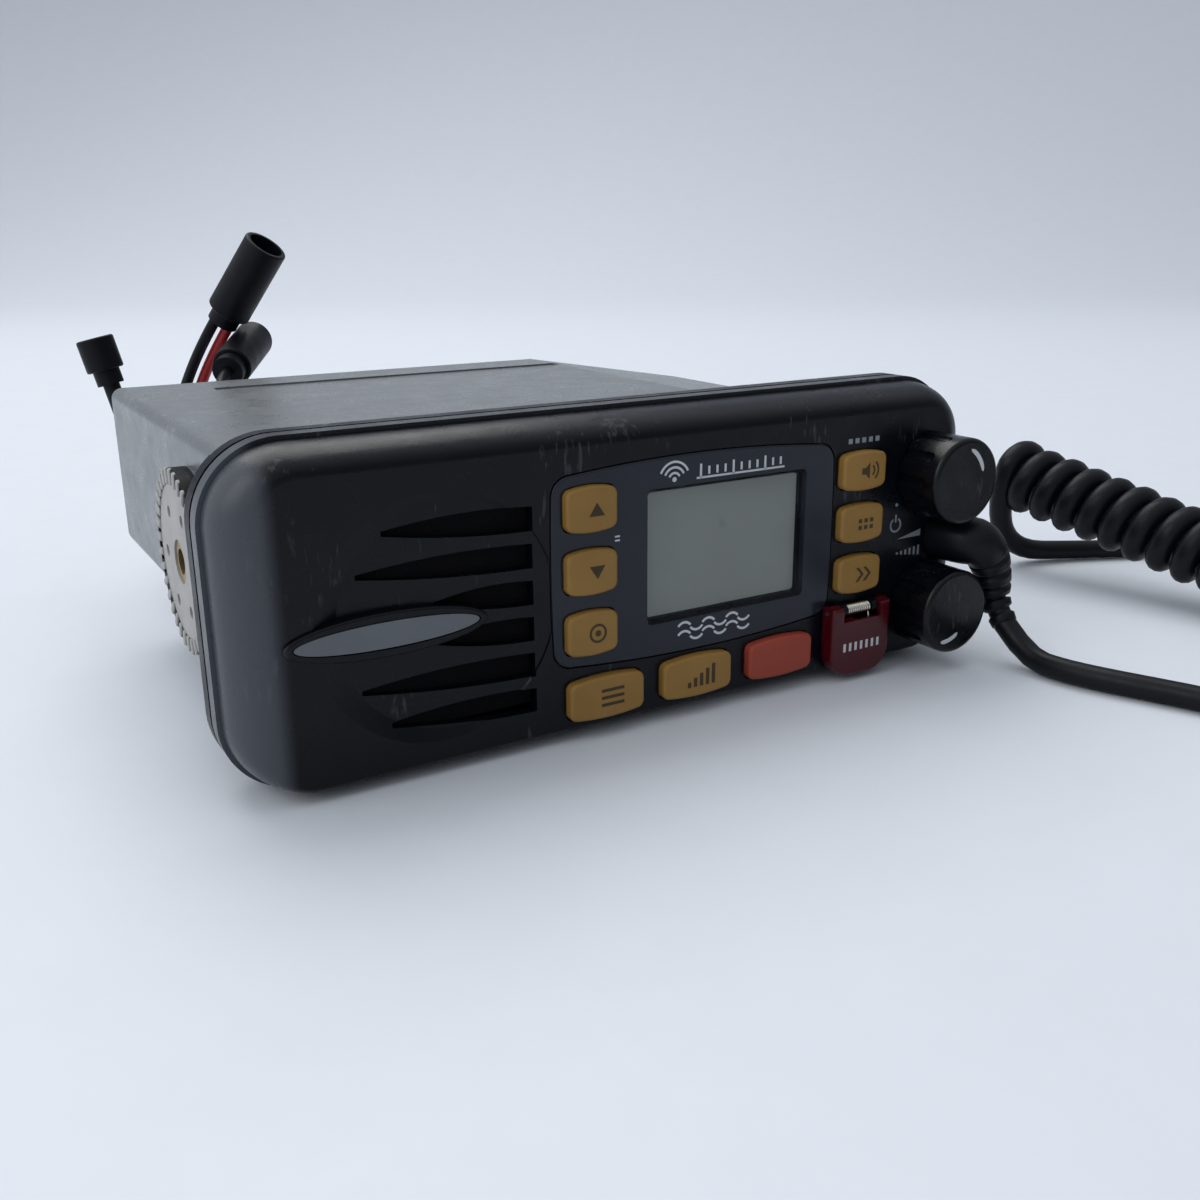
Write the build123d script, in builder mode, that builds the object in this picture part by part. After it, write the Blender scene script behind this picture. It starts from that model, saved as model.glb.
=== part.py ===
from build123d import *
import math
import os

os.makedirs("parts", exist_ok=True)

# Fixed-mount marine VHF transceiver with its fist microphone.
# Millimetres. X runs to the right along the front panel, Y from the front panel towards the rear,
# Z up. The origin is on the resting face, under the middle of the case.

# ---------------------------------------------------------------- driving dimensions
bezel_width = 172.0
bezel_height = 64.5
bezel_corner = 15.0
front_y = -68.0
bezel_depth = 12.6
front_wall = 2.8
rim_depth = 9.0
rim_side = 8.0
rim_top = 5.0
rim_bottom = 2.4
bezel_side_wall = 5.0
bezel_top_wall = 3.2
bezel_bottom_wall = 2.0
lip_depth = 3.4
lip_step = 0.9

gasket_thickness = 1.0
gasket_inset = 0.7
gasket_width = 1.2

flange_thickness = 3.4
case_rear_y = 43.0
case_side_step = 5.6
case_half_width = bezel_width / 2 - case_side_step
case_top_step = 2.5
case_height = bezel_height - case_top_step
case_wall = 2.6
case_chamfer_height = 26.6
case_chamfer_width = 26.4
case_foot = case_half_width - case_chamfer_width
case_edge_round = 3.0
case_top_round = 2.5
case_rear_round = 1.0
shoulder_width = 50.4
shoulder_x = case_half_width - shoulder_width
shoulder_drop = 8.5
shoulder_side_z = case_height - shoulder_drop
rear_wall = 3.0
fin_length = 5.0
fin_thickness = 1.8
fin_count = 15
fin_first_inset = 20.0
fin_last_proud = 1.6
fin_first_x = fin_first_inset - case_foot
fin_pitch = (case_foot + fin_last_proud - fin_first_x) / (fin_count - 1)
fin_low_z = 6.0
fin_top_margin = 12.0
fin_height = case_height - fin_top_margin - fin_low_z
band_inset = 2.0
band_width = 2 * (case_foot - band_inset)
band_length = 11.0
band_depth = 0.4
band_x = -8.0
band_y = 24.0

gimbal_y = -32.4
gimbal_drop = 23.8
gimbal_z = case_height - gimbal_drop
gimbal_radius = 17.6
gimbal_boss_proud = 1.4
gimbal_disc_thickness = 2.0
gimbal_teeth = 40
gimbal_tooth_depth = 0.7
gimbal_tooth_length = 2.4
gimbal_face_radius = 14.9
gimbal_screw_ring = 10.0
gimbal_screw_radius = 1.2
gimbal_screw_depth = 0.6
gimbal_screws = 6
gimbal_slot_width = 1.2
nut_sides = 6
row_key_count = 3
talk_bar_overlap = 0.9
shell_cut_depth = 6.6
gimbal_boss_depth = 10.0
sleeve_radius = 7.0
sleeve_floor = 1.2
insert_outer_radius = 4.2
insert_bore_radius = 2.5
insert_length = 9.0
insert_recess = 0.3
close_fit = 0.03

grille_inset = 58.0
grille_right_x = grille_inset - bezel_width / 2
mode_column_inset = 34.3
mode_column_x = bezel_width / 2 - mode_column_inset
panel_left_gap = 3.8
panel_right_gap = 7.5
panel_left_x = grille_right_x + panel_left_gap
panel_right_x = mode_column_x - panel_right_gap
panel_width = panel_right_x - panel_left_x
panel_x = (panel_left_x + panel_right_x) / 2
panel_low_z = 15.9
panel_top_margin = 11.2
panel_height = bezel_height - panel_top_margin - panel_low_z
panel_z = panel_low_z + panel_height / 2
panel_corner = 4.0
panel_side_bow = 0.4
panel_top_bow = 1.9
panel_pocket = 1.2
panel_thickness = 1.5
fit_gap = 0.25

window_left_margin = 21.2
window_right_margin = 7.6
window_left_x = panel_left_x + window_left_margin
window_right_x = panel_right_x - window_right_margin
window_width = window_right_x - window_left_x
window_x = (window_left_x + window_right_x) / 2
window_margin = 4.9
window_height = panel_height - 2 * window_margin
window_lift = 0.4
window_z = panel_z + window_lift
window_corner = 1.2
window_thickness = 1.4
window_ledge = 0.8

lcd_side_margin = 0.4
lcd_end_margin = 1.2
lcd_width = window_width + 2 * lcd_side_margin
lcd_height = window_height + 2 * lcd_end_margin
lcd_thickness = 2.4
lcd_glass_thickness = 1.5

key_travel = 0.8
key_clearance = 0.25
key_proud = 1.9
key_corner = 1.7
key_bow = 0.75
key_flange = 0.8
key_flange_thickness = 0.8
key_flange_gap = 0.1
key_edge_round = 0.7
membrane_thickness = 1.0
board_thickness = 1.6

channel_inset = 8.0
channel_column_x = panel_left_x + channel_inset
channel_key_width = 11.2
channel_key_gap = 3.25
channel_end_inset = 6.5
channel_drop = 6.4
channel_top_z = panel_z + panel_height / 2 - channel_drop
channel_pitch = (channel_top_z - panel_low_z - channel_end_inset) / 2
channel_key_height = channel_pitch - channel_key_gap
mode_key_width = 12.0
mode_key_gap = 2.9
mode_top_drop = 17.7
mode_low_z = 23.8
mode_top_z = bezel_height - mode_top_drop
mode_pitch = (mode_top_z - mode_low_z) / 2
mode_key_height = mode_pitch - mode_key_gap
row_z = 8.7
row_key_height = 8.9
row_key_gap = 4.7
row_left_inset = 2.7
row_right_inset = 5.3
row_left_x = panel_left_x + row_left_inset
row_right_x = panel_right_x - row_right_inset
row_key_width = (row_right_x - row_left_x - 2 * row_key_gap) / row_key_count
row_key_xs = (
    row_left_x + row_key_width / 2,
    (row_left_x + row_right_x) / 2,
    row_right_x - row_key_width / 2,
)

grille_slot_height = 4.7
grille_lengths = (28.9, 34.0, 19.9, 20.0, 34.1, 29.1)
grille_top_margin = 15.8
grille_top_z = bezel_height - grille_top_margin
grille_last_z = 13.1
grille_pitch = (grille_top_z - grille_last_z) / (len(grille_lengths) - 1)
slot_tip_height = 0.9
slot_tip_drop = 1.1
slot_lower_lift = 1.0
slot_upper_lift = 0.35
dish_inset = 19.0
dish_x = grille_right_x - dish_inset
dish_drop = 1.95
dish_z = bezel_height / 2 - dish_drop
dish_radius = 23.5
dish_floor_shift = 2.4
dish_floor_x = dish_x + dish_floor_shift
dish_floor_radius = 21.5
dish_deep = 1.5
dish_shallow = 0.2

badge_inset = 29.0
badge_x = grille_right_x - badge_inset
badge_drop = 2.75
badge_z = bezel_height / 2 - badge_drop
badge_half_length = 19.0
badge_half_height = 4.15
badge_proud = 0.9
badge_rim = 1.5
badge_pocket = 1.0
badge_plate_thickness = 0.9

speaker_inset = 20.0
speaker_x = grille_right_x - speaker_inset
speaker_lift = 0.75
speaker_z = bezel_height / 2 + speaker_lift
speaker_margin = 10.25
speaker_radius = bezel_height / 2 - speaker_margin
speaker_rim = 3.0
speaker_rim_thickness = 1.4
basket_rim = 3.4
basket_radius = speaker_radius - basket_rim
basket_depth = 5.4
basket_wall = 1.0
magnet_radius = 12.5
magnet_depth = 6.0
cloth_thickness = 0.4
cloth_x = dish_floor_x
cloth_z = dish_z
cloth_width = 38.0
cloth_height = 42.0
cone_gap = 0.3
cone_thickness = 0.8
cone_depth = 3.4
cone_neck_radius = 5.0

knob_inset = 14.0
knob_x = bezel_width / 2 - knob_inset
knob_upper_drop = 20.7
knob_upper_z = bezel_height - knob_upper_drop
knob_lower_z = 14.2
knob_half_gap = 5.3
knob_radius = (knob_upper_z - knob_lower_z) / 2 - knob_half_gap
knob_length = 11.4
knob_gap = 0.4
knob_edge_round = 1.1
knob_skirt_depth = 3.4
knob_skirt_wall = 2.6
knob_skirt_radius = knob_radius - knob_skirt_wall
knob_flutes = 10
knob_flute_radius = 1.5
knob_flute_depth = 0.75
knob_flute_length = 7.2
shaft_radius = 2.0
shaft_running = 0.05
shaft_hub_depth = 7.0
bushing_radius = 3.4
bushing_proud = 2.6
nut_radius = 5.4
nut_thickness = 1.7
control_size = 13.0
control_depth = 7.0
control_tail = 2.0

cover_shift = 0.7
cover_x = mode_column_x - cover_shift
cover_width = 16.6
cover_top_z = 17.5
cover_bottom_z = 1.5
cover_front = 4.2
cover_wall = 1.0
cover_gap = 0.5
cover_corner = 5.5
cover_edge_round = 0.8
cover_notch_z = 14.2
hinge_z = 16.3
hinge_out = 2.0
hinge_pin_radius = 0.6
hinge_ear_radius = 1.45
hinge_ear_width = 3.0
hinge_lug_width = 1.7
hinge_side_gap = 0.15
spring_radius = 1.35
spring_wire = 0.5
distress_button_radius = 4.4
distress_button_z = 8.9
distress_button_proud = 2.0

boot_inset = 8.6
boot_x = bezel_width / 2 - boot_inset
boot_drop = 0.6
boot_z = (knob_upper_z + knob_lower_z) / 2 - boot_drop
boot_root_radius = 3.4
boot_collar_radius = 5.0
boot_elbow_radius = 5.3
boot_tip_radius = 3.7
boot_rib_radius = 4.8
boot_rib_count = 5
boot_hole_clearance = 0.1
boot_recess_radius = 5.6
boot_recess_depth = 1.2

board_low_z = 3.6
board_top_margin = 8.0
board_high_z = bezel_height - board_top_margin
board_side_margin = 0.2
board_left_x = panel_left_x - board_side_margin
board_knob_gap = 13.0
board_width = knob_x - board_knob_gap - board_left_x
screw_radius = 1.5
screw_head_radius = 2.9
screw_head_height = 1.8
screw_boss_radius = 3.1
screw_corner_inset = 8.4
screw_low_inset = 33.9
screw_panel_shift = 11.1
screw_side_shift = 9.9
screw_top_drop = 12.5
screw_low_z = 6.0
screw_side_z = 28.2
screw_places = (
    (screw_corner_inset - case_half_width, case_height - screw_top_drop),
    (screw_low_inset - case_half_width, screw_low_z),
    (mode_column_x - screw_panel_shift, case_height - screw_top_drop),
    (mode_column_x + screw_side_shift, screw_side_z),
)
board_screw_gap = 4.0
board_screw_high_drop = 2.5
board_screw_drop = 4.9
board_screw_low_z = 16.6
board_screw_end_inset = 6.6
board_screw_places = (
    (window_left_x - board_screw_gap, board_high_z - board_screw_drop),
    (window_left_x - board_screw_gap, board_screw_low_z),
    (window_right_x + board_screw_gap, board_screw_low_z),
    (window_right_x - board_screw_end_inset, board_high_z - board_screw_high_drop),
)
board_boss_radius = 2.2
screw_clearance = 0.5
small_screw_radius = 1.0
small_head_radius = 1.9
small_head_height = 1.1

main_board_inset = 8.0
main_board_width = 2 * (case_foot - main_board_inset)
main_board_front_y = -36.0
main_board_rear_y = 28.0
main_board_z = 15.0
standoff_edge = 8.0
standoff_x = main_board_width / 2 - standoff_edge
standoff_inset = 5.0
standoff_radius = 3.0
module_width = 58.0
module_height = 19.0
module_depth = 8.5
module_x = 8.0
module_low_z = 23.0
can_gap = 4.0
can_width = main_board_width / 2 - can_gap
can_length = 34.0
can_height = 11.0
can_wall = 0.6
can_edge = 7.0
can_x = can_edge + can_width / 2 - main_board_width / 2
can_y = -12.0

gland_radius = 6.5
gland_neck_radius = 4.6
gland_proud = 8.0
gland_flange = 2.0
power_gland_inset = 24.4
power_gland_x = power_gland_inset - case_half_width
power_gland_z = 26.0
antenna_gland_inset = 8.4
antenna_gland_x = antenna_gland_inset - case_half_width
antenna_gland_drop = 22.5
antenna_gland_z = case_height - antenna_gland_drop

wire_radius = 1.6
socket_radius = 6.2
socket_bore_radius = 4.9
socket_neck_radius = 4.4
socket_neck_length = 4.0
socket_length = 28.0
socket_bore_depth = 18.0
socket_edge_round = 0.6
wire_spread = 2.1
power_socket_end = (-24.0, 101.0, 92.5)
power_socket_axis = (0.405, -0.467, 0.786)
accessory_socket_end = (-25.0, 119.0, 64.7)
accessory_socket_axis = (0.525, 0.815, 0.245)
accessory_socket_radius = 5.6
accessory_bore_radius = 4.3
antenna_socket_end = (-73.2, 104.0, 68.6)
antenna_socket_axis = (-0.205, 0.127, 0.971)
coax_radius = 2.3
coax_socket_radius = 5.0
coax_socket_length = 13.0
coax_socket_bore_radius = 3.6
coax_socket_bore_depth = 7.6

cord_radius = 2.65
coil_radius = 10.0

mic_width = 56.0
mic_foot_width = 45.0
mic_length = 82.0
mic_corner = 13.0
mic_x = 242.0
mic_y = -154.0
mic_tilt_deg = 5.09
mic_lift = 3.3
mic_back_depth = 12.0
mic_front_depth = 14.0
mic_wall = 2.2
mic_edge_round = 4.0
mic_slot_count = 7
mic_slot_width = 24.0
mic_slot_height = 1.6
mic_slot_pitch = 3.6
mic_slot_y = -18.0
talk_bar_length = 30.0
talk_bar_height = 9.0
talk_bar_proud = 2.4
talk_bar_y = -14.0
talk_clearance = 0.3
talk_gap = 0.2
element_radius = 9.5
element_depth = 5.0
hanger_radius = 7.0
hanger_neck_radius = 4.5
hanger_neck = 1.6
hanger_head = 2.4
hanger_y = -14.0
mic_screw_inset_x = 15.0
mic_screw_inset_y = 30.0
relief_length = 22.0
relief_root_radius = 4.6
relief_tip_radius = 3.3
relief_neck_radius = 3.6
relief_rib_count = 6
relief_rib_width = 1.2
mic_post_radius = 3.6
mic_screw_taper = 2.6
mic_screw_sink = 0.4
mic_thread_depth = 8.0
hanger_screw_depth = 7.0
mic_cord_z = 8.0
talk_bar_z = 18.0
talk_bar_round = 1.4
talk_bar_lip = 1.2
talk_bar_flange = 1.5
mic_element_gap = 0.2
hanger_round = 0.8
mic_relief_inside = 3.0
relief_rib_pitch = 2.9
relief_rib_proud = 0.7
relief_rib_shrink = 0.16

screw_thread_length = 8.0
board_thread_length = 4.0
panel_edge_round = 0.35
window_gap = 0.1
lcd_corner = 0.8
key_rest_height = 6.6
key_rest_corner = 1.2
board_corner = 2.0
chip_height = 1.4
chip_corner = 0.4
board_chips = (
    (0.0, 35.0, 14.0, 14.0),
    (-26.0, 30.0, 7.0, 9.0),
    (26.0, 34.0, 9.0, 6.0),
    (3.0, 12.0, 18.0, 5.0),
)
control_tail_width = 9.0
shaft_end_gap = 0.5
hinge_ear_web = 0.9
spring_leg_z = 12.2
module_legs = 12
module_leg_pitch = 4.2
module_leg = 1.2
board_blocks = (
    (22.0, -14.0, 18.0, 18.0, 1.8),
    (20.0, 10.0, 12.0, 9.0, 2.4),
    (60.0, 18.0, 16.0, 7.0, 5.0),
    (44.0, 20.0, 8.0, 8.0, 3.2),
)
board_capacitors = ((32.0, 20.0, 3.2, 8.0), (6.0, 4.0, 4.0, 9.0), (6.0, -8.0, 4.0, 9.0))
cross_length = 3.2
cross_width = 0.8
cross_depth = 0.9
gland_lip = 1.0
gland_shoulder_radius = 5.6
wire_rise = 1.2
coax_neck_radius = 3.6
boot_collar_length = 9.0
boot_collar_round = 1.6
boot_root_length = 1.5
boot_rib_first = 0.5
boot_rib_step = 0.1
boot_rib_width = 2.2
boot_rib_shrink = 0.15
cord_rest_z = 2.7
coil_rest_z = 10.3
boot_tip_shift = 10.1
boot_tip_y = -80.3
boot_tip_z = 9.0
boot_axis = (0.0, -0.75, -0.6614)
boot_straight = 6.8
boot_bend_shift = 9.1
boot_bend_y = -76.2
boot_bend_z = 19.8
boot_nose_y = -76.4
boot_elbow_shift = 3.4
boot_elbow_y = -75.8
boot_elbow_rise = 2.4
hole_lead = 1.0
pane_clearance = 0.5
hanger_floor = 2.0
foot_edge_tolerance = 1.0

# Places the leads pass, from the set outwards.
red_wire_straight_y = 77.0
red_wire_rear_y = 103.0
black_wire_straight_y = 76.0
black_wire_rear_y = 102.0
wire_drift = 0.8
wire_last_run = 24.0
accessory_straight_y = 67.0
accessory_places = ((-47.0, 80.0, 19.5), (-43.0, 72.0, 38.0))
accessory_last_run = 15.0
antenna_straight_y = 62.0
antenna_last_run = 16.0
mic_lead_first_run = 9.52
mic_lead_places = (
    (87.6, -97.0),
    (91.0, -107.0),
    (98.2, -123.1),
    (104.0, -142.0),
    (108.5, -164.0),
    (128.6, -177.1),
    (152.0, -170.5),
    (163.6, -157.5),
)
mic_lead_end = (164.5, -143.6, 3.2)
coil_start = (165.2, -143.6, coil_rest_z)
coil_places = ((164.0, -111.0, 10.6), (160.5, -78.0, 16.0), (158.0, -57.0, 20.5), (153.0, -33.0, 26.5))
mic_tail_start = (147.5, -37.5, 20.6)
mic_tail_places = ((163.0, -34.0), (187.0, -41.2), (206.0, -48.0), (226.0, -53.0))
mic_tail_last_run = 16.0

# ---------------------------------------------------------------- places worked out from them
bezel_mid_z = bezel_height / 2
inner_face_y = front_y + front_wall
bezel_rear_y = front_y + bezel_depth
flange_front_y = bezel_rear_y + gasket_thickness
case_front_y = flange_front_y + flange_thickness
rear_inner_y = case_rear_y - rear_wall
key_flange_front_y = inner_face_y + key_flange_gap
key_flange_rear_y = key_flange_front_y + key_flange_thickness
membrane_front_y = key_flange_rear_y + key_travel + key_flange_gap
board_front_y = membrane_front_y + membrane_thickness
board_rear_y = board_front_y + board_thickness
hinge_y = front_y - hinge_out
floor_z = case_wall
standoff_places = [
    (side * standoff_x, y)
    for side in (-1, 1)
    for y in (main_board_front_y + standoff_inset, main_board_rear_y - standoff_inset)
]


def front_plane(y, x=0.0, z=0.0):
    """Plane facing the user: its x is +X, its y is +Z and its normal is -Y."""
    return Plane(origin=(x, y, z), x_dir=(1, 0, 0), z_dir=(0, -1, 0))


def side_plane(x, y=0.0, z=0.0):
    """Plane facing +X: its x is +Y and its y is +Z."""
    return Plane(origin=(x, y, z), x_dir=(0, 1, 0), z_dir=(1, 0, 0))


def save(part, label):
    """Names a finished piece and writes its STEP file."""
    part.label = label
    export_step(part, f"parts/{label}.step")


def bowed_outline(plane, width, height, side_bow, top_bow, corner):
    """Rounded rectangle on the plane whose sides bow outwards."""
    half_w = width / 2
    half_h = height / 2
    with BuildSketch(plane) as outline:
        with BuildLine():
            ThreePointArc((-half_w, -half_h), (0, -half_h - top_bow), (half_w, -half_h))
            if side_bow:
                ThreePointArc((half_w, -half_h), (half_w + side_bow, 0), (half_w, half_h))
            else:
                Line((half_w, -half_h), (half_w, half_h))
            ThreePointArc((half_w, half_h), (0, half_h + top_bow), (-half_w, half_h))
            if side_bow:
                ThreePointArc((-half_w, half_h), (-half_w - side_bow, 0), (-half_w, -half_h))
            else:
                Line((-half_w, half_h), (-half_w, -half_h))
        make_face()
        fillet(outline.vertices(), corner)
    return outline.sketch


def rounded_frame(plane, width, height, corner):
    """Rounded rectangle centred on the plane."""
    with BuildSketch(plane) as frame:
        RectangleRounded(width, height, corner)
    return frame.sketch


def disc(plane, radius):
    """Round face centred on the plane."""
    with BuildSketch(plane) as face:
        Circle(radius)
    return face.sketch


def oval(plane, half_length, half_height):
    """Elliptical face centred on the plane."""
    with BuildSketch(plane) as face:
        Ellipse(half_length, half_height)
    return face.sketch


# The keys: name, centre x, centre z, width and height.
keys = []
for name, step in (("key_up", 0), ("key_down", 1), ("key_select", 2)):
    z = channel_top_z - step * channel_pitch
    keys.append((name, channel_column_x, z, channel_key_width, channel_key_height))
for name, x in zip(("key_menu", "key_power_level", "key_calling"), row_key_xs):
    keys.append((name, x, row_z, row_key_width, row_key_height))
for name, step in (("key_address", 0), ("key_memory", 1), ("key_scan", 2)):
    keys.append((name, mode_column_x, mode_top_z - step * mode_pitch, mode_key_width, mode_key_height))


def slot_outline(plane, length, height):
    """Blade-shaped grille slot: square at the right, drawn to a small tip at the left."""
    with BuildSketch(plane) as blade:
        with BuildLine():
            Line((0, 0), (0, height))
            ThreePointArc(
                (0, height),
                (-length / 2, height + slot_upper_lift),
                (-length, height - slot_tip_drop),
            )
            Line((-length, height - slot_tip_drop), (-length, height - slot_tip_drop - slot_tip_height))
            ThreePointArc(
                (-length, height - slot_tip_drop - slot_tip_height),
                (-0.6 * length, slot_lower_lift),
                (0, 0),
            )
        make_face()
    return blade.sketch


# ---------------------------------------------------------------- front bezel
hull_width = bezel_width - 2 * lip_step
hull_height = bezel_height - 2 * lip_step
hull_corner = bezel_corner - lip_step
rim_angles = (0, 18, 36, 54, 72, 90)
hole_depth = 2 * front_wall
lcd_opening_width = window_width - 2 * window_ledge
lcd_opening_height = window_height - 2 * window_ledge
badge_edge_round = 0.45
lug_centres = (
    cover_x - cover_width / 2 + hinge_ear_width + hinge_side_gap + hinge_lug_width / 2,
    cover_x + cover_width / 2 - hinge_ear_width - hinge_side_gap - hinge_lug_width / 2,
)

with BuildPart() as front_bezel:
    # The rim rolls from the flat front to the side walls as a quarter ellipse.
    for angle in rim_angles:
        turn = math.radians(angle)
        draw_in = 1 - math.sin(turn)
        section_y = front_y + rim_depth * (1 - math.cos(turn))
        side_in = rim_side * draw_in
        top_in = rim_top * draw_in
        bottom_in = rim_bottom * draw_in
        with BuildSketch(front_plane(section_y, 0, bezel_mid_z + (bottom_in - top_in) / 2)):
            RectangleRounded(
                hull_width - 2 * side_in,
                hull_height - top_in - bottom_in,
                hull_corner - side_in,
            )
    loft()
    hull_plane = front_plane(front_y + rim_depth, 0, bezel_mid_z)
    hull = rounded_frame(hull_plane, hull_width, hull_height, hull_corner)
    extrude(hull, amount=-(bezel_depth - rim_depth))
    lip = rounded_frame(front_plane(bezel_rear_y, 0, bezel_mid_z), bezel_width, bezel_height, bezel_corner)
    extrude(lip, amount=lip_depth)
    cavity_mid_z = (bezel_height - bezel_top_wall + bezel_bottom_wall) / 2
    cavity = rounded_frame(
        front_plane(inner_face_y, 0, cavity_mid_z),
        bezel_width - 2 * bezel_side_wall,
        bezel_height - bezel_top_wall - bezel_bottom_wall,
        bezel_corner - bezel_side_wall,
    )
    extrude(cavity, amount=-bezel_depth, mode=Mode.SUBTRACT)

    # Shallow round dish behind the grille, deepest at its left edge.
    dish_slope = dish_shallow - dish_deep
    dish_floor = Plane(
        origin=(dish_floor_x, front_y + (dish_deep + dish_shallow) / 2, dish_z),
        x_dir=(2 * dish_floor_radius, dish_slope, 0),
        z_dir=(dish_slope, -2 * dish_floor_radius, 0),
    )
    with BuildSketch(front_plane(front_y, dish_x, dish_z)):
        Circle(dish_radius)
    with BuildSketch(dish_floor):
        Circle(dish_floor_radius)
    loft(ruled=True, mode=Mode.SUBTRACT)

    # Grille slots through the dish.
    for row, length in enumerate(grille_lengths):
        slot_z = grille_top_z - grille_slot_height - row * grille_pitch
        blade = slot_outline(front_plane(front_y, grille_right_x, slot_z), length, grille_slot_height)
        extrude(blade, amount=-hole_depth, mode=Mode.SUBTRACT)

    # Oval badge seat: a raised rim round a shallow pocket, closing the ends of two slots.
    seat = oval(front_plane(inner_face_y, badge_x, badge_z), badge_half_length, badge_half_height)
    extrude(seat, amount=front_wall + badge_proud)
    fillet(front_bezel.faces().sort_by(Axis.Y)[0].edges(), badge_edge_round)
    pocket = oval(
        front_plane(front_y - badge_proud, badge_x, badge_z),
        badge_half_length - badge_rim,
        badge_half_height - badge_rim,
    )
    extrude(pocket, amount=-badge_pocket, mode=Mode.SUBTRACT)

    # Seat of the display panel, with the opening in front of the liquid crystal display.
    panel_seat = bowed_outline(
        front_plane(front_y, panel_x, panel_z),
        panel_width,
        panel_height,
        panel_side_bow,
        panel_top_bow,
        panel_corner,
    )
    extrude(panel_seat, amount=-panel_pocket, mode=Mode.SUBTRACT)
    opening = rounded_frame(
        front_plane(front_y, window_x, window_z), lcd_opening_width, lcd_opening_height, window_corner
    )
    extrude(opening, amount=-hole_depth, mode=Mode.SUBTRACT)

    # Key holes.
    for name, x, z, width, height in keys:
        hole = bowed_outline(
            front_plane(front_y, x, z),
            width + 2 * key_clearance,
            height - 2 * key_bow + 2 * key_clearance,
            0,
            key_bow,
            key_corner,
        )
        extrude(hole, amount=-hole_depth, mode=Mode.SUBTRACT)

    # Holes for the controls' bushings, the distress button and the microphone cord's boot.
    for x, z, radius in (
        (knob_x, knob_upper_z, bushing_radius + close_fit),
        (knob_x, knob_lower_z, bushing_radius + close_fit),
        (cover_x, distress_button_z, distress_button_radius + key_clearance),
        (boot_x, boot_z, boot_root_radius + boot_hole_clearance),
    ):
        hole = disc(front_plane(front_y - hole_lead, x, z), radius)
        extrude(hole, amount=-2 * hole_depth, mode=Mode.SUBTRACT)
    boot_recess = disc(front_plane(front_y - hole_lead, boot_x, boot_z), boot_recess_radius)
    extrude(boot_recess, amount=-(hole_lead + boot_recess_depth), mode=Mode.SUBTRACT)

    # Bosses behind the front wall for the case screws and the front board.
    for x, z in screw_places:
        boss = disc(front_plane(bezel_rear_y, x, z), screw_boss_radius)
        extrude(boss, amount=bezel_rear_y - inner_face_y)
    for x, z in board_screw_places:
        boss = disc(front_plane(board_front_y, x, z), board_boss_radius)
        extrude(boss, amount=board_front_y - inner_face_y)

    # Two lugs that carry the hinge pin of the distress cover.
    for x in lug_centres:
        with BuildSketch(side_plane(x - hinge_lug_width / 2, hinge_y, hinge_z)):
            Circle(hinge_ear_radius)
            with Locations((hinge_out / 2, 0)):
                Rectangle(hinge_out, 2 * hinge_ear_radius)
        extrude(amount=hinge_lug_width)
    pin_bore = disc(side_plane(cover_x - cover_width / 2, hinge_y, hinge_z), hinge_pin_radius + close_fit)
    extrude(pin_bore, amount=cover_width, mode=Mode.SUBTRACT)

    # Blind threads for the case screws and the board screws.
    for x, z in screw_places:
        thread = disc(front_plane(bezel_rear_y, x, z), screw_radius + close_fit)
        extrude(thread, amount=screw_thread_length, mode=Mode.SUBTRACT)
    for x, z in board_screw_places:
        thread = disc(front_plane(board_front_y, x, z), small_screw_radius + close_fit)
        extrude(thread, amount=board_thread_length, mode=Mode.SUBTRACT)
save(front_bezel.part, "front_bezel")

# ---------------------------------------------------------------- oval badge plate, bare
with BuildPart() as badge_plate:
    plate = oval(
        front_plane(front_y - badge_proud + badge_pocket, badge_x, badge_z),
        badge_half_length - badge_rim - fit_gap,
        badge_half_height - badge_rim - fit_gap,
    )
    extrude(plate, amount=badge_plate_thickness)
save(badge_plate.part, "badge_plate")

# ---------------------------------------------------------------- display panel and window
with BuildPart() as display_panel:
    outline = bowed_outline(
        front_plane(front_y + panel_pocket, panel_x, panel_z),
        panel_width - 2 * fit_gap,
        panel_height - 2 * fit_gap,
        panel_side_bow,
        panel_top_bow,
        panel_corner,
    )
    extrude(outline, amount=panel_thickness)
    fillet(display_panel.faces().sort_by(Axis.Y)[0].edges(), panel_edge_round)
    pane = rounded_frame(
        front_plane(front_y + panel_pocket, window_x, window_z), window_width, window_height, window_corner
    )
    extrude(pane, amount=panel_thickness, mode=Mode.SUBTRACT)
    for name, x, z, width, height in keys[:3]:
        hole = bowed_outline(
            front_plane(front_y + panel_pocket, x, z),
            width + 2 * key_clearance,
            height - 2 * key_bow + 2 * key_clearance,
            0,
            key_bow,
            key_corner,
        )
        extrude(hole, amount=panel_thickness, mode=Mode.SUBTRACT)
save(display_panel.part, "display_panel")

with BuildPart() as display_window:
    pane = rounded_frame(
        front_plane(front_y + panel_pocket, window_x, window_z),
        window_width - 2 * window_gap,
        window_height - 2 * window_gap,
        window_corner,
    )
    extrude(pane, amount=window_thickness)
save(display_window.part, "display_window")

with BuildPart() as lcd_module:
    glass = rounded_frame(front_plane(board_front_y, window_x, window_z), lcd_width, lcd_height, lcd_corner)
    extrude(glass, amount=lcd_thickness)
    # Viewing glass, standing up into the opening of the bezel.
    viewing_glass = rounded_frame(
        front_plane(board_front_y - lcd_thickness, window_x, window_z),
        lcd_opening_width - 2 * fit_gap,
        lcd_opening_height - 2 * fit_gap,
        lcd_corner,
    )
    extrude(viewing_glass, amount=lcd_glass_thickness)
save(lcd_module.part, "lcd_module")

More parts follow.
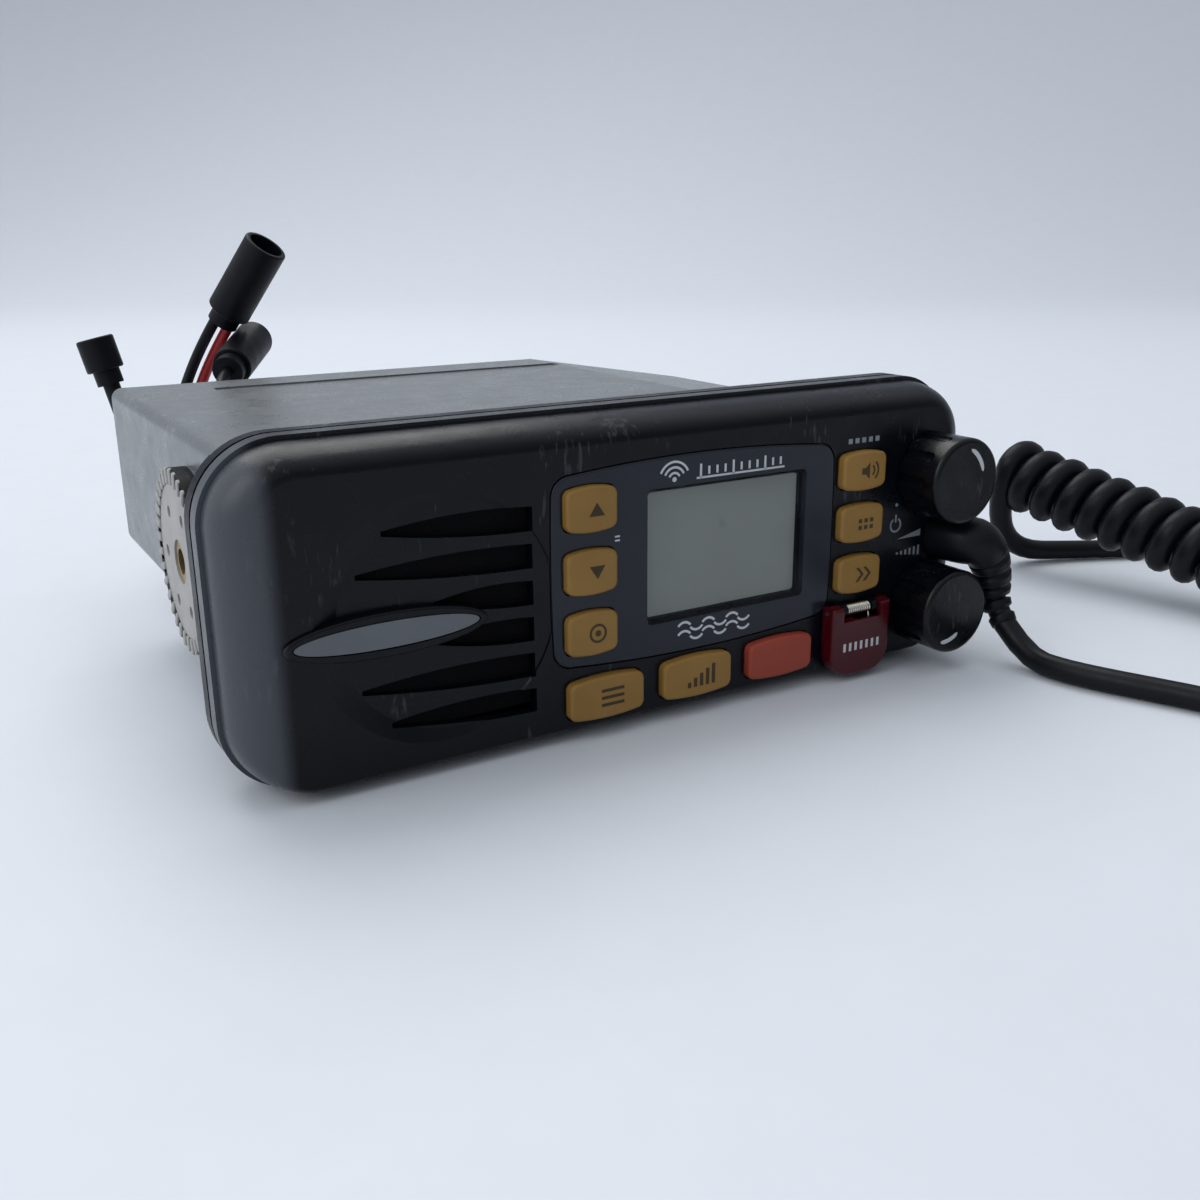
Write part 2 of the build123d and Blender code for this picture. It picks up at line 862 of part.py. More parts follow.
# ---------------------------------------------------------------- keys
for name, x, z, width, height in keys:
    with BuildPart() as key:
        cap = bowed_outline(
            front_plane(key_flange_front_y, x, z), width, height - 2 * key_bow, 0, key_bow, key_corner
        )
        extrude(cap, amount=key_flange_front_y - front_y + key_proud)
        fillet(key.faces().sort_by(Axis.Y)[0].edges(), key_edge_round)
        rest = rounded_frame(
            front_plane(key_flange_rear_y, x, z), width + 2 * key_flange, key_rest_height, key_rest_corner
        )
        extrude(rest, amount=key_flange_thickness)
    save(key.part, name)

with BuildPart() as distress_button:
    cap = disc(front_plane(key_flange_front_y, cover_x, distress_button_z), distress_button_radius)
    extrude(cap, amount=key_flange_front_y - front_y + distress_button_proud)
    fillet(distress_button.faces().sort_by(Axis.Y)[0].edges(), key_edge_round)
    rest_plane = front_plane(key_flange_rear_y, cover_x, distress_button_z)
    rest = disc(rest_plane, distress_button_radius + key_flange)
    extrude(rest, amount=key_flange_thickness)
save(distress_button.part, "distress_button")

# ---------------------------------------------------------------- key membrane and front board
board_mid_z = (board_low_z + board_high_z) / 2
board_height = board_high_z - board_low_z
board_mid_x = board_left_x + board_width / 2
passing_reach = board_width / 2 + screw_boss_radius
passing_bosses = [(x, z) for x, z in screw_places if abs(x - board_mid_x) < passing_reach]

with BuildPart() as keypad_membrane:
    sheet = rounded_frame(
        front_plane(board_front_y, board_mid_x, board_mid_z),
        board_width - 2 * fit_gap,
        board_height - 2 * fit_gap,
        board_corner,
    )
    extrude(sheet, amount=membrane_thickness)
    window = rounded_frame(
        front_plane(board_front_y, window_x, window_z),
        lcd_width + 2 * pane_clearance,
        lcd_height + 2 * pane_clearance,
        lcd_corner,
    )
    extrude(window, amount=membrane_thickness, mode=Mode.SUBTRACT)
    for x, z in board_screw_places:
        relief = disc(front_plane(board_front_y, x, z), board_boss_radius + screw_clearance)
        extrude(relief, amount=membrane_thickness, mode=Mode.SUBTRACT)
    for x, z in passing_bosses:
        relief = disc(front_plane(board_front_y, x, z), screw_boss_radius + screw_clearance)
        extrude(relief, amount=membrane_thickness, mode=Mode.SUBTRACT)
save(keypad_membrane.part, "keypad_membrane")

with BuildPart() as front_board:
    sheet = rounded_frame(
        front_plane(board_rear_y, board_mid_x, board_mid_z), board_width, board_height, board_corner
    )
    extrude(sheet, amount=board_thickness)
    for x, z in board_screw_places:
        hole = disc(front_plane(board_rear_y, x, z), small_screw_radius + close_fit)
        extrude(hole, amount=board_thickness, mode=Mode.SUBTRACT)
    for x, z in passing_bosses:
        relief = disc(front_plane(board_rear_y, x, z), screw_boss_radius + screw_clearance)
        extrude(relief, amount=board_thickness, mode=Mode.SUBTRACT)
    # Components on the back of the board.
    for shift, z, width, height in board_chips:
        chip_plane = front_plane(board_rear_y + chip_height, board_mid_x + shift, z)
        chip = rounded_frame(chip_plane, width, height, chip_corner)
        extrude(chip, amount=chip_height)
save(front_board.part, "front_board")

# ---------------------------------------------------------------- speaker
cloth_front_y = inner_face_y
cloth_rear_y = cloth_front_y + cloth_thickness
rim_rear_y = cloth_rear_y + speaker_rim_thickness
basket_rear_y = rim_rear_y + basket_depth
magnet_rear_y = basket_rear_y + magnet_depth
speaker_axis = Axis((speaker_x, 0, speaker_z), (0, 1, 0))
speaker_section = Plane(origin=(speaker_x, 0, speaker_z), x_dir=(1, 0, 0), z_dir=(0, 0, 1))
rim_inner_radius = speaker_radius - speaker_rim

with BuildPart() as grille_cloth:
    cloth_plane = front_plane(cloth_rear_y, cloth_x, cloth_z)
    cloth = rounded_frame(cloth_plane, cloth_width, cloth_height, board_corner)
    extrude(cloth, amount=cloth_thickness)
save(grille_cloth.part, "grille_cloth")

with BuildPart() as speaker_frame:
    with BuildSketch(speaker_section):
        with BuildLine():
            Polyline(
                (rim_inner_radius, cloth_rear_y),
                (speaker_radius, cloth_rear_y),
                (speaker_radius, rim_rear_y),
                (basket_radius + basket_wall, rim_rear_y),
                (magnet_radius, basket_rear_y),
                (magnet_radius, magnet_rear_y),
                (0, magnet_rear_y),
                (0, basket_rear_y),
                (magnet_radius - basket_wall, basket_rear_y),
                (basket_radius, rim_rear_y),
                (rim_inner_radius, cloth_rear_y + cone_gap),
                close=True,
            )
        make_face()
    revolve(axis=speaker_axis)
save(speaker_frame.part, "speaker_frame")

with BuildPart() as speaker_cone:
    cone_front_y = cloth_rear_y + cone_gap
    cone_outer_radius = basket_radius - cone_gap
    with BuildSketch(speaker_section):
        with BuildLine():
            Polyline(
                (0, cone_front_y + cone_depth),
                (cone_neck_radius, cone_front_y + cone_depth),
                (cone_outer_radius, cone_front_y),
                (cone_outer_radius, cone_front_y + cone_thickness),
                (cone_neck_radius, cone_front_y + cone_depth + cone_thickness),
                (0, cone_front_y + cone_depth + cone_thickness),
                close=True,
            )
        make_face()
    revolve(axis=speaker_axis)
save(speaker_cone.part, "speaker_cone")

# ---------------------------------------------------------------- controls and knobs
control_rear_y = inner_face_y + control_depth
bushing_front_y = front_y - bushing_proud
knob_rear_y = front_y - knob_gap
skirt_floor_y = knob_rear_y - knob_skirt_depth

for which, z in (("volume", knob_upper_z), ("squelch", knob_lower_z)):
    with BuildPart() as control:
        extrude(
            rounded_frame(front_plane(control_rear_y, knob_x, z), control_size, control_size, chip_corner),
            amount=control_depth,
        )
        bushing = disc(front_plane(inner_face_y, knob_x, z), bushing_radius)
        extrude(bushing, amount=inner_face_y - bushing_front_y)
        bore = disc(front_plane(control_rear_y, knob_x, z), shaft_radius + shaft_running)
        extrude(bore, amount=control_rear_y - bushing_front_y, mode=Mode.SUBTRACT)
        tail_plane = front_plane(control_rear_y + control_tail, knob_x, z)
        tail = rounded_frame(tail_plane, control_tail_width, control_tail, chip_corner)
        extrude(tail, amount=control_tail)
    save(control.part, f"{which}_control")

    with BuildPart() as shaft:
        extrude(
            disc(front_plane(control_rear_y - shaft_end_gap, knob_x, z), shaft_radius),
            amount=control_rear_y - shaft_end_gap - skirt_floor_y + shaft_hub_depth,
        )
    save(shaft.part, f"{which}_shaft")

    with BuildPart() as knob:
        extrude(disc(front_plane(knob_rear_y, knob_x, z), knob_radius), amount=knob_length)
        fillet(knob.faces().sort_by(Axis.Y)[0].edges(), knob_edge_round)
        extrude(
            disc(front_plane(knob_rear_y, knob_x, z), knob_skirt_radius),
            amount=knob_skirt_depth,
            mode=Mode.SUBTRACT,
        )
        hub = disc(front_plane(skirt_floor_y, knob_x, z), shaft_radius + close_fit)
        extrude(hub, amount=shaft_hub_depth + shaft_end_gap, mode=Mode.SUBTRACT)
        # Finger flutes run forward from the skirt and end in a round before the cap.
        flute_ring = knob_radius + knob_flute_radius - knob_flute_depth
        with BuildSketch(front_plane(knob_rear_y, knob_x, z)):
            with PolarLocations(flute_ring, knob_flutes):
                Circle(knob_flute_radius)
        extrude(amount=knob_flute_length, mode=Mode.SUBTRACT)
        with BuildPart(mode=Mode.PRIVATE) as flute_ends:
            with Locations(front_plane(knob_rear_y - knob_flute_length, knob_x, z)):
                with PolarLocations(flute_ring, knob_flutes):
                    Sphere(knob_flute_radius)
        add(flute_ends.part, mode=Mode.SUBTRACT)
    save(knob.part, f"{which}_knob")

with BuildPart() as control_nuts:
    for z in (knob_upper_z, knob_lower_z):
        with BuildSketch(front_plane(front_y, knob_x, z)):
            RegularPolygon(nut_radius, nut_sides)
            Circle(bushing_radius + close_fit, mode=Mode.SUBTRACT)
        extrude(amount=nut_thickness)
save(control_nuts.part, "control_nuts")

# ---------------------------------------------------------------- distress cover, pin and spring
cover_face_y = front_y - cover_front
cover_rear_y = front_y - cover_gap
cover_left = cover_x - cover_width / 2
notch_width = cover_width - 2 * hinge_ear_width


def cover_outline(y, inset):
    """The cover's outline drawn in by an inset: square at the top, round at the bottom."""
    half = cover_width / 2 - inset
    corner = cover_corner - inset
    top = cover_top_z
    bottom = cover_bottom_z + inset
    with BuildSketch(front_plane(y, cover_x, 0)) as outline:
        with BuildLine():
            Line((-half, top), (-half, bottom + corner))
            RadiusArc((-half, bottom + corner), (-half + corner, bottom), -corner)
            Line((-half + corner, bottom), (half - corner, bottom))
            RadiusArc((half - corner, bottom), (half, bottom + corner), -corner)
            Line((half, bottom + corner), (half, top))
            Line((half, top), (-half, top))
        make_face()
    return outline.sketch


with BuildPart() as distress_cover:
    extrude(cover_outline(cover_rear_y, 0), amount=cover_rear_y - cover_face_y)
    fillet(distress_cover.faces().sort_by(Axis.Y)[0].edges(), cover_edge_round)
    extrude(
        cover_outline(cover_rear_y, cover_wall),
        amount=cover_rear_y - cover_face_y - cover_wall,
        mode=Mode.SUBTRACT,
    )
    with Locations(((cover_x, cover_face_y, cover_top_z))):
        Box(
            notch_width,
            2 * cover_front,
            2 * (cover_top_z - cover_notch_z),
            mode=Mode.SUBTRACT,
        )
    # Ears that turn on the pin.
    for x in (cover_left, cover_left + cover_width - hinge_ear_width):
        with BuildSketch(side_plane(x, hinge_y, hinge_z)):
            Circle(hinge_ear_radius)
            with Locations((-(cover_front - hinge_out - cover_wall) / 2, 0)):
                Rectangle(cover_front - hinge_out - cover_wall, 2 * hinge_ear_web)
        extrude(amount=hinge_ear_width)
    bore = disc(side_plane(cover_left, hinge_y, hinge_z), hinge_pin_radius + shaft_running)
    extrude(bore, amount=cover_width, mode=Mode.SUBTRACT)
save(distress_cover.part, "distress_cover")

with BuildPart() as distress_pin:
    pin = disc(side_plane(cover_left + hinge_side_gap, hinge_y, hinge_z), hinge_pin_radius)
    extrude(pin, amount=cover_width - 2 * hinge_side_gap)
save(distress_pin.part, "distress_pin")

with BuildPart() as distress_spring:
    coil_left = lug_centres[0] + hinge_lug_width / 2 + hinge_side_gap
    coil_right = lug_centres[1] - hinge_lug_width / 2 - hinge_side_gap
    with BuildSketch(side_plane(coil_left, hinge_y, hinge_z)):
        Circle(spring_radius)
        Circle(spring_radius - spring_wire, mode=Mode.SUBTRACT)
    extrude(amount=coil_right - coil_left)
    leg_start = Vector(coil_right - spring_wire, hinge_y - spring_radius + spring_wire, hinge_z)
    leg_end = Vector(coil_right - spring_wire, cover_face_y + cover_wall + spring_wire, spring_leg_z)
    with BuildSketch(Plane(origin=leg_start, z_dir=leg_end - leg_start)):
        Circle(spring_wire / 2)
    extrude(amount=(leg_end - leg_start).length)
save(distress_spring.part, "distress_spring")

# ---------------------------------------------------------------- gasket and case
with BuildPart() as bezel_gasket:
    with BuildSketch(front_plane(flange_front_y, 0, bezel_mid_z)):
        RectangleRounded(
            bezel_width - 2 * gasket_inset, bezel_height - 2 * gasket_inset, bezel_corner - gasket_inset
        )
        inner_inset = gasket_inset + gasket_width
        RectangleRounded(
            bezel_width - 2 * inner_inset,
            bezel_height - 2 * inner_inset,
            bezel_corner - inner_inset,
            mode=Mode.SUBTRACT,
        )
    extrude(amount=gasket_thickness)
save(bezel_gasket.part, "bezel_gasket")


def case_outline(y, inset):
    """Section of the case: flat foot, low side chamfers and a shoulder that falls away at the right."""
    with BuildSketch(front_plane(y)) as section:
        with BuildLine():
            Polyline(
                (-case_foot, 0),
                (case_foot, 0),
                (case_half_width, case_chamfer_height),
                (case_half_width, shoulder_side_z),
                (shoulder_x, case_height),
                (-case_half_width, case_height),
                (-case_half_width, case_chamfer_height),
                close=True,
            )
        make_face()
        if inset:
            offset(amount=-inset, kind=Kind.INTERSECTION, mode=Mode.REPLACE)
    return section.sketch


disc_inner_x = case_half_width + gimbal_boss_proud
disc_outer_x = disc_inner_x + gimbal_disc_thickness
insert_outer_x = disc_outer_x - insert_recess
insert_inner_x = insert_outer_x - insert_length
glands = (
    ("power_gland", power_gland_x, power_gland_z),
    ("antenna_gland", antenna_gland_x, antenna_gland_z),
)

with BuildPart() as case:
    extrude(case_outline(case_rear_y, 0), amount=case_rear_y - flange_front_y)
    long_edges = case.edges().filter_by(Axis.Y)
    top_edges = long_edges.filter_by_position(
        Axis.Z, case_height - foot_edge_tolerance, case_height + foot_edge_tolerance
    )
    fillet(top_edges.sort_by(Axis.X)[0], case_top_round)
    side_edges = case.edges().filter_by(Axis.Y).filter_by_position(
        Axis.Z, case_chamfer_height - foot_edge_tolerance, shoulder_side_z + foot_edge_tolerance
    )
    fillet(side_edges, case_edge_round)
    fillet(case.faces().sort_by(Axis.Y)[-1].edges(), case_rear_round)
    flange_plane = front_plane(case_front_y, 0, bezel_mid_z)
    flange = rounded_frame(flange_plane, bezel_width, bezel_height, bezel_corner)
    extrude(flange, amount=flange_thickness)

    # Round bosses that carry the gimbal discs.
    for side in (-1, 1):
        boss = disc(side_plane(side * (disc_inner_x - gimbal_boss_depth), gimbal_y, gimbal_z), gimbal_radius)
        extrude(boss, amount=side * gimbal_boss_depth)

    # Inside.
    extrude(
        case_outline(rear_inner_y, case_wall),
        amount=rear_inner_y - flange_front_y,
        mode=Mode.SUBTRACT,
    )

    # Sleeves for the brass inserts of the bracket knobs.
    for side in (-1, 1):
        sleeve_x = side * (insert_inner_x - sleeve_floor)
        sleeve = disc(side_plane(sleeve_x, gimbal_y, gimbal_z), sleeve_radius)
        extrude(sleeve, amount=side * (disc_inner_x - insert_inner_x))
        seat = disc(side_plane(side * insert_inner_x, gimbal_y, gimbal_z), insert_outer_radius + close_fit)
        extrude(seat, amount=side * insert_length, mode=Mode.SUBTRACT)

    # Cooling fins, cleared round the screw heads.
    for number in range(fin_count):
        fin_x = fin_first_x + number * fin_pitch
        fin = rounded_frame(
            front_plane(case_rear_y + fin_length, fin_x, fin_low_z + fin_height / 2),
            fin_thickness,
            fin_height,
            fin_thickness / 3,
        )
        extrude(fin, amount=fin_length)
    for x, z in screw_places:
        clearing = disc(front_plane(case_rear_y + fin_length, x, z), screw_head_radius + 2 * screw_clearance)
        extrude(clearing, amount=fin_length, mode=Mode.SUBTRACT)
        hole = disc(front_plane(case_rear_y, x, z), screw_radius + close_fit)
        extrude(hole, amount=rear_wall, mode=Mode.SUBTRACT)
    for name, x, z in glands:
        hole = disc(front_plane(case_rear_y, x, z), gland_neck_radius + close_fit)
        extrude(hole, amount=rear_wall, mode=Mode.SUBTRACT)

    # Shallow recessed band across the top.
    with Locations((band_x, band_y, case_height)):
        Box(band_width, band_length, 2 * band_depth, mode=Mode.SUBTRACT)

    # Standoffs of the main board.
    for x, y in standoff_places:
        with BuildSketch(Plane.XY.offset(floor_z)):
            with Locations((x, y)):
                Circle(standoff_radius)
                Circle(small_screw_radius + close_fit, mode=Mode.SUBTRACT)
        extrude(amount=main_board_z - floor_z)
save(case.part, "case")

# ---------------------------------------------------------------- gimbal discs and inserts
for label, side in (("gimbal_disc_left", -1), ("gimbal_disc_right", 1)):
    with BuildPart() as toothed_disc:
        plate = disc(side_plane(side * disc_inner_x, gimbal_y, gimbal_z), gimbal_radius)
        extrude(plate, amount=side * gimbal_disc_thickness)
        hub = disc(side_plane(side * disc_inner_x, gimbal_y, gimbal_z), insert_outer_radius + close_fit)
        extrude(hub, amount=side * gimbal_disc_thickness, mode=Mode.SUBTRACT)
        with BuildSketch(side_plane(side * disc_outer_x, gimbal_y, gimbal_z)):
            with PolarLocations(gimbal_face_radius + gimbal_tooth_length / 2, gimbal_teeth):
                Rectangle(gimbal_tooth_length, gimbal_slot_width)
        extrude(amount=-side * gimbal_tooth_depth, mode=Mode.SUBTRACT)
        with BuildSketch(side_plane(side * disc_outer_x, gimbal_y, gimbal_z)):
            with PolarLocations(gimbal_screw_ring, gimbal_screws):
                Circle(gimbal_screw_radius)
        extrude(amount=-side * gimbal_screw_depth, mode=Mode.SUBTRACT)
    save(toothed_disc.part, label)

with BuildPart() as gimbal_inserts:
    for side in (-1, 1):
        with BuildSketch(side_plane(side * insert_inner_x, gimbal_y, gimbal_z)):
            Circle(insert_outer_radius)
            Circle(insert_bore_radius, mode=Mode.SUBTRACT)
        extrude(amount=side * insert_length)
save(gimbal_inserts.part, "gimbal_inserts")

# ---------------------------------------------------------------- boards inside the case
board_top_z = main_board_z + board_thickness
main_board_y = (main_board_front_y + main_board_rear_y) / 2

with BuildPart() as main_board:
    with BuildSketch(Plane.XY.offset(main_board_z)):
        with Locations((0, main_board_y)):
            RectangleRounded(main_board_width, main_board_rear_y - main_board_front_y, board_corner)
        with Locations(standoff_places):
            Circle(small_screw_radius + close_fit, mode=Mode.SUBTRACT)
    extrude(amount=board_thickness)
    # Components on the top of the board.
    for edge, y, width, length, height in board_blocks:
        with BuildSketch(Plane.XY.offset(board_top_z)):
            with Locations((main_board_width / 2 - edge, y)):
                RectangleRounded(width, length, chip_corner)
        extrude(amount=height)
    for edge, y, radius, height in board_capacitors:
        with BuildSketch(Plane.XY.offset(board_top_z)):
            with Locations((main_board_width / 2 - edge, y)):
                Circle(radius)
        extrude(amount=height)
save(main_board.part, "main_board")

with BuildPart() as shield_can:
    with BuildSketch(Plane.XY.offset(board_top_z)):
        with Locations((can_x, can_y)):
            RectangleRounded(can_width, can_length, board_corner)
    extrude(amount=can_height)
    with BuildSketch(Plane.XY.offset(board_top_z)):
        with Locations((can_x, can_y)):
            RectangleRounded(can_width - 2 * can_wall, can_length - 2 * can_wall, board_corner - can_wall)
    extrude(amount=can_height - can_wall, mode=Mode.SUBTRACT)
save(shield_can.part, "shield_can")

with BuildPart() as power_module:
    body = rounded_frame(
        front_plane(rear_inner_y, module_x, module_low_z + module_height / 2),
        module_width,
        module_height,
        board_corner,
    )
    extrude(body, amount=module_depth)
    # Solder legs along its lower edge.
    for number in range(module_legs):
        leg_x = module_x + (number - (module_legs - 1) / 2) * module_leg_pitch
        with Locations((leg_x, rear_inner_y - module_depth - module_leg / 2, module_low_z + module_leg)):
            Box(module_leg, module_leg, module_leg)
save(power_module.part, "power_module")

with BuildPart() as board_screws:
    for x, z in board_screw_places:
        with BuildSketch(front_plane(board_rear_y, x, z)):
            Circle(small_screw_radius)
        extrude(amount=board_thickness + board_thread_length - 2 * close_fit)
        head = disc(front_plane(board_rear_y + small_head_height, x, z), small_head_radius)
        extrude(head, amount=small_head_height)
    for x, y in standoff_places:
        with BuildSketch(Plane.XY.offset(board_top_z)):
            with Locations((x, y)):
                Circle(small_screw_radius)
        extrude(amount=-(board_thickness + board_thread_length - 2 * close_fit))
        with BuildSketch(Plane.XY.offset(board_top_z)):
            with Locations((x, y)):
                Circle(small_head_radius)
        extrude(amount=small_head_height)
save(board_screws.part, "board_screws")

with BuildPart() as case_screws:
    for x, z in screw_places:
        shank = disc(front_plane(case_rear_y, x, z), screw_radius)
        extrude(shank, amount=case_rear_y - bezel_rear_y + screw_thread_length - screw_clearance)
        head = disc(front_plane(case_rear_y + screw_head_height, x, z), screw_head_radius)
        extrude(head, amount=screw_head_height)
        with BuildSketch(front_plane(case_rear_y + screw_head_height, x, z)):
            Rectangle(cross_length, cross_width)
            Rectangle(cross_width, cross_length)
        extrude(amount=cross_depth, mode=Mode.SUBTRACT)
save(case_screws.part, "case_screws")

# ---------------------------------------------------------------- cable glands in the rear wall
gland_end_y = case_rear_y + gland_proud
for name, x, z in glands:
    with BuildPart() as gland:
        with BuildSketch(Plane(origin=(x, 0, z), x_dir=(1, 0, 0), z_dir=(0, 0, 1))):
            with BuildLine():
                Polyline(
                    (0, rear_inner_y - gland_lip),
                    (gland_neck_radius, rear_inner_y - gland_lip),
                    (gland_neck_radius, case_rear_y),
                    (gland_radius, case_rear_y),
                    (gland_radius, case_rear_y + gland_flange),
                    (gland_shoulder_radius, case_rear_y + gland_flange + gland_lip),
                    (gland_neck_radius, gland_end_y),
                    (0, gland_end_y),
                    close=True,
                )
            make_face()
        revolve(axis=Axis((x, 0, z), (0, 1, 0)))
    save(gland.part, name)

# ---------------------------------------------------------------- leads and their sockets


def along(start, direction, distance):
    """The point at a distance from the start along a direction."""
    return Vector(*start) + Vector(*direction).normalized() * distance


def bends(points, share=0.45):
    """Bend radius at each inner corner of a route: as large as its shorter run allows."""
    radii = []
    for before, corner, after in zip(points, points[1:], points[2:]):
        run_in = Vector(*corner) - Vector(*before)
        run_out = Vector(*after) - Vector(*corner)
        half_turn = math.radians(run_in.get_angle(run_out)) / 2
        radii.append(share * min(run_in.length, run_out.length) / math.tan(half_turn))
    return radii


def tube(label, points, radius):
    """A round cord along straight runs and tangent arcs."""
    radii = bends(points)
    with BuildPart() as cord:
        with BuildLine() as route:
            FilletPolyline(*points, radius=radii)
        with BuildSketch(Plane(origin=route.line @ 0, z_dir=route.line % 0)):
            Circle(radius)
        sweep()
    length = sum(edge.length for edge in route.edges())
    volume_ratio = cord.part.volume / (math.pi * radius**2 * length)
    bend_radii = [round(bend, 1) for bend in radii]
    print(label, round(length, 1), "mm, bend radii", bend_radii, "volume ratio", round(volume_ratio, 3))
    save(cord.part, label)


def lead_socket(label, end, axis, radius, bore_radius, bore_depth, length, neck_radius):
    """An open-ended socket on a lead: a sleeve with a blind bore and a narrower neck behind."""
    mouth = Plane(origin=end, z_dir=axis)
    with BuildPart() as socket:
        with BuildSketch(mouth):
            Circle(radius)
        extrude(amount=-(length - socket_neck_length))
        fillet(socket.edges().filter_by(GeomType.CIRCLE), socket_edge_round)
        with BuildSketch(mouth.offset(-(length - socket_neck_length))):
            Circle(neck_radius)
        extrude(amount=-socket_neck_length)
        with BuildSketch(mouth):
            Circle(bore_radius)
        extrude(amount=-bore_depth, mode=Mode.SUBTRACT)
    save(socket.part, label)


lead_socket(
    "power_socket",
    power_socket_end,
    power_socket_axis,
    socket_radius,
    socket_bore_radius,
    socket_bore_depth,
    socket_length,
    socket_neck_radius,
)
lead_socket(
    "accessory_socket",
    accessory_socket_end,
    accessory_socket_axis,
    accessory_socket_radius,
    accessory_bore_radius,
    socket_bore_depth,
    socket_length,
    socket_neck_radius,
)
lead_socket(
    "antenna_socket",
    antenna_socket_end,
    antenna_socket_axis,
    coax_socket_radius,
    coax_socket_bore_radius,
    coax_socket_bore_depth,
    coax_socket_length,
    coax_neck_radius,
)

power_neck = along(power_socket_end, power_socket_axis, -socket_length)
accessory_neck = along(accessory_socket_end, accessory_socket_axis, -socket_length)
antenna_neck = along(antenna_socket_end, antenna_socket_axis, -coax_socket_length)
power_side = Vector(*power_socket_axis).cross(Vector(0, 1, 0)).normalized() * -wire_spread

red_end = power_neck + power_side
black_end = power_neck - power_side
tube(
    "red_wire",
    (
        (power_gland_x + wire_spread, gland_end_y, power_gland_z + wire_rise),
        (power_gland_x + wire_spread, red_wire_straight_y, power_gland_z + wire_rise),
        (power_gland_x + wire_spread + wire_drift, red_wire_rear_y, power_gland_z),
        tuple(along(tuple(red_end), power_socket_axis, -wire_last_run)),
        tuple(red_end),
    ),
    wire_radius,
)
tube(
    "black_wire",
    (
        (power_gland_x - wire_spread, gland_end_y, power_gland_z + wire_rise),
        (power_gland_x - wire_spread, black_wire_straight_y, power_gland_z + wire_rise),
        (power_gland_x - wire_spread + wire_drift, black_wire_rear_y, power_gland_z),
        tuple(along(tuple(black_end), power_socket_axis, -wire_last_run)),
        tuple(black_end),
    ),
    wire_radius,
)
tube(
    "accessory_lead",
    (
        (power_gland_x, gland_end_y, power_gland_z - wire_spread),
        (power_gland_x, accessory_straight_y, power_gland_z - wire_spread),
        *accessory_places,
        tuple(along(tuple(accessory_neck), accessory_socket_axis, -accessory_last_run)),
        tuple(accessory_neck),
    ),
    wire_radius,
)
tube(
    "antenna_lead",
    (
        (antenna_gland_x, gland_end_y, antenna_gland_z),
        (antenna_gland_x, antenna_straight_y, antenna_gland_z),
        tuple(along(tuple(antenna_neck), antenna_socket_axis, -antenna_last_run)),
        tuple(antenna_neck),
    ),
    coax_radius,
)

# ---------------------------------------------------------------- where the microphone lies
mic_tilt = math.radians(mic_tilt_deg)


def mic_plane(x=0.0, y=0.0, z=0.0):
    """Plane of the microphone: its x is the width, its y the length towards the cord, z the thickness."""
    upright = (0, math.sin(mic_tilt), math.cos(mic_tilt))
    base = Plane(origin=(mic_x, mic_y, mic_lift), x_dir=(1, 0, 0), z_dir=upright)
    return Plane(origin=base.from_local_coords((x, y, z)), x_dir=(1, 0, 0), z_dir=upright)


def mic_end_plane(y, x=0.0, z=0.0):
    """Plane across the microphone at a place along its length, its normal towards the cord."""
    base = mic_plane(x, y, z)
    return Plane(origin=base.origin, x_dir=(-1, 0, 0), z_dir=base.y_dir)


relief_root = mic_end_plane(mic_length / 2, 0, mic_cord_z)
relief_tip = relief_root.origin + relief_root.z_dir * relief_length

# ---------------------------------------------------------------- microphone cord
boot_tip = (boot_x + boot_tip_shift, boot_tip_y, boot_tip_z)
boot_route = (
    (boot_x, front_y - boot_recess_depth / 2, boot_z),
    (boot_x, boot_nose_y, boot_z),
    (boot_x + boot_bend_shift, boot_bend_y, boot_bend_z),
    tuple(along(boot_tip, boot_axis, -boot_straight)),
    boot_tip,
)
with BuildPart() as mic_boot:
    extrude(
        disc(front_plane(front_y + boot_recess_depth, boot_x, boot_z), boot_collar_radius),
        amount=boot_collar_length,
    )
    fillet(mic_boot.faces().sort_by(Axis.Y)[0].edges(), boot_collar_round)
    with Locations((boot_x + boot_elbow_shift, boot_elbow_y, boot_z + boot_elbow_rise)):
        Sphere(boot_elbow_radius)
    with BuildLine() as boot_line:
        FilletPolyline(*boot_route, radius=bends(boot_route))
    with BuildSketch(Plane(origin=boot_line.line @ 0, z_dir=boot_line.line % 0)):
        Circle(boot_tip_radius)
    sweep()
    root = disc(front_plane(inner_face_y + boot_root_length, boot_x, boot_z), boot_root_radius)
    extrude(root, amount=boot_root_length + front_wall - boot_recess_depth)
    for number in range(boot_rib_count):
        place = boot_rib_first + number * boot_rib_step
        rib_plane = Plane(origin=boot_line.line @ place, z_dir=boot_line.line % place)
        with BuildSketch(rib_plane):
            Circle(boot_rib_radius - number * boot_rib_shrink)
        extrude(amount=boot_rib_width)
save(mic_boot.part, "mic_boot")

tube(
    "mic_lead",
    (
        boot_tip,
        tuple(along(boot_tip, boot_axis, mic_lead_first_run)),
        *[(x, y, cord_rest_z) for x, y in mic_lead_places],
        mic_lead_end,
    ),
    cord_radius,
)
tube(
    "mic_coil",
    (coil_start, *coil_places),
    coil_radius,
)
tube(
    "mic_tail",
    (
        mic_tail_start,
        *[(x, y, cord_rest_z) for x, y in mic_tail_places],
        tuple(relief_tip + relief_root.z_dir * mic_tail_last_run),
        tuple(relief_tip),
    ),
    cord_radius,
)

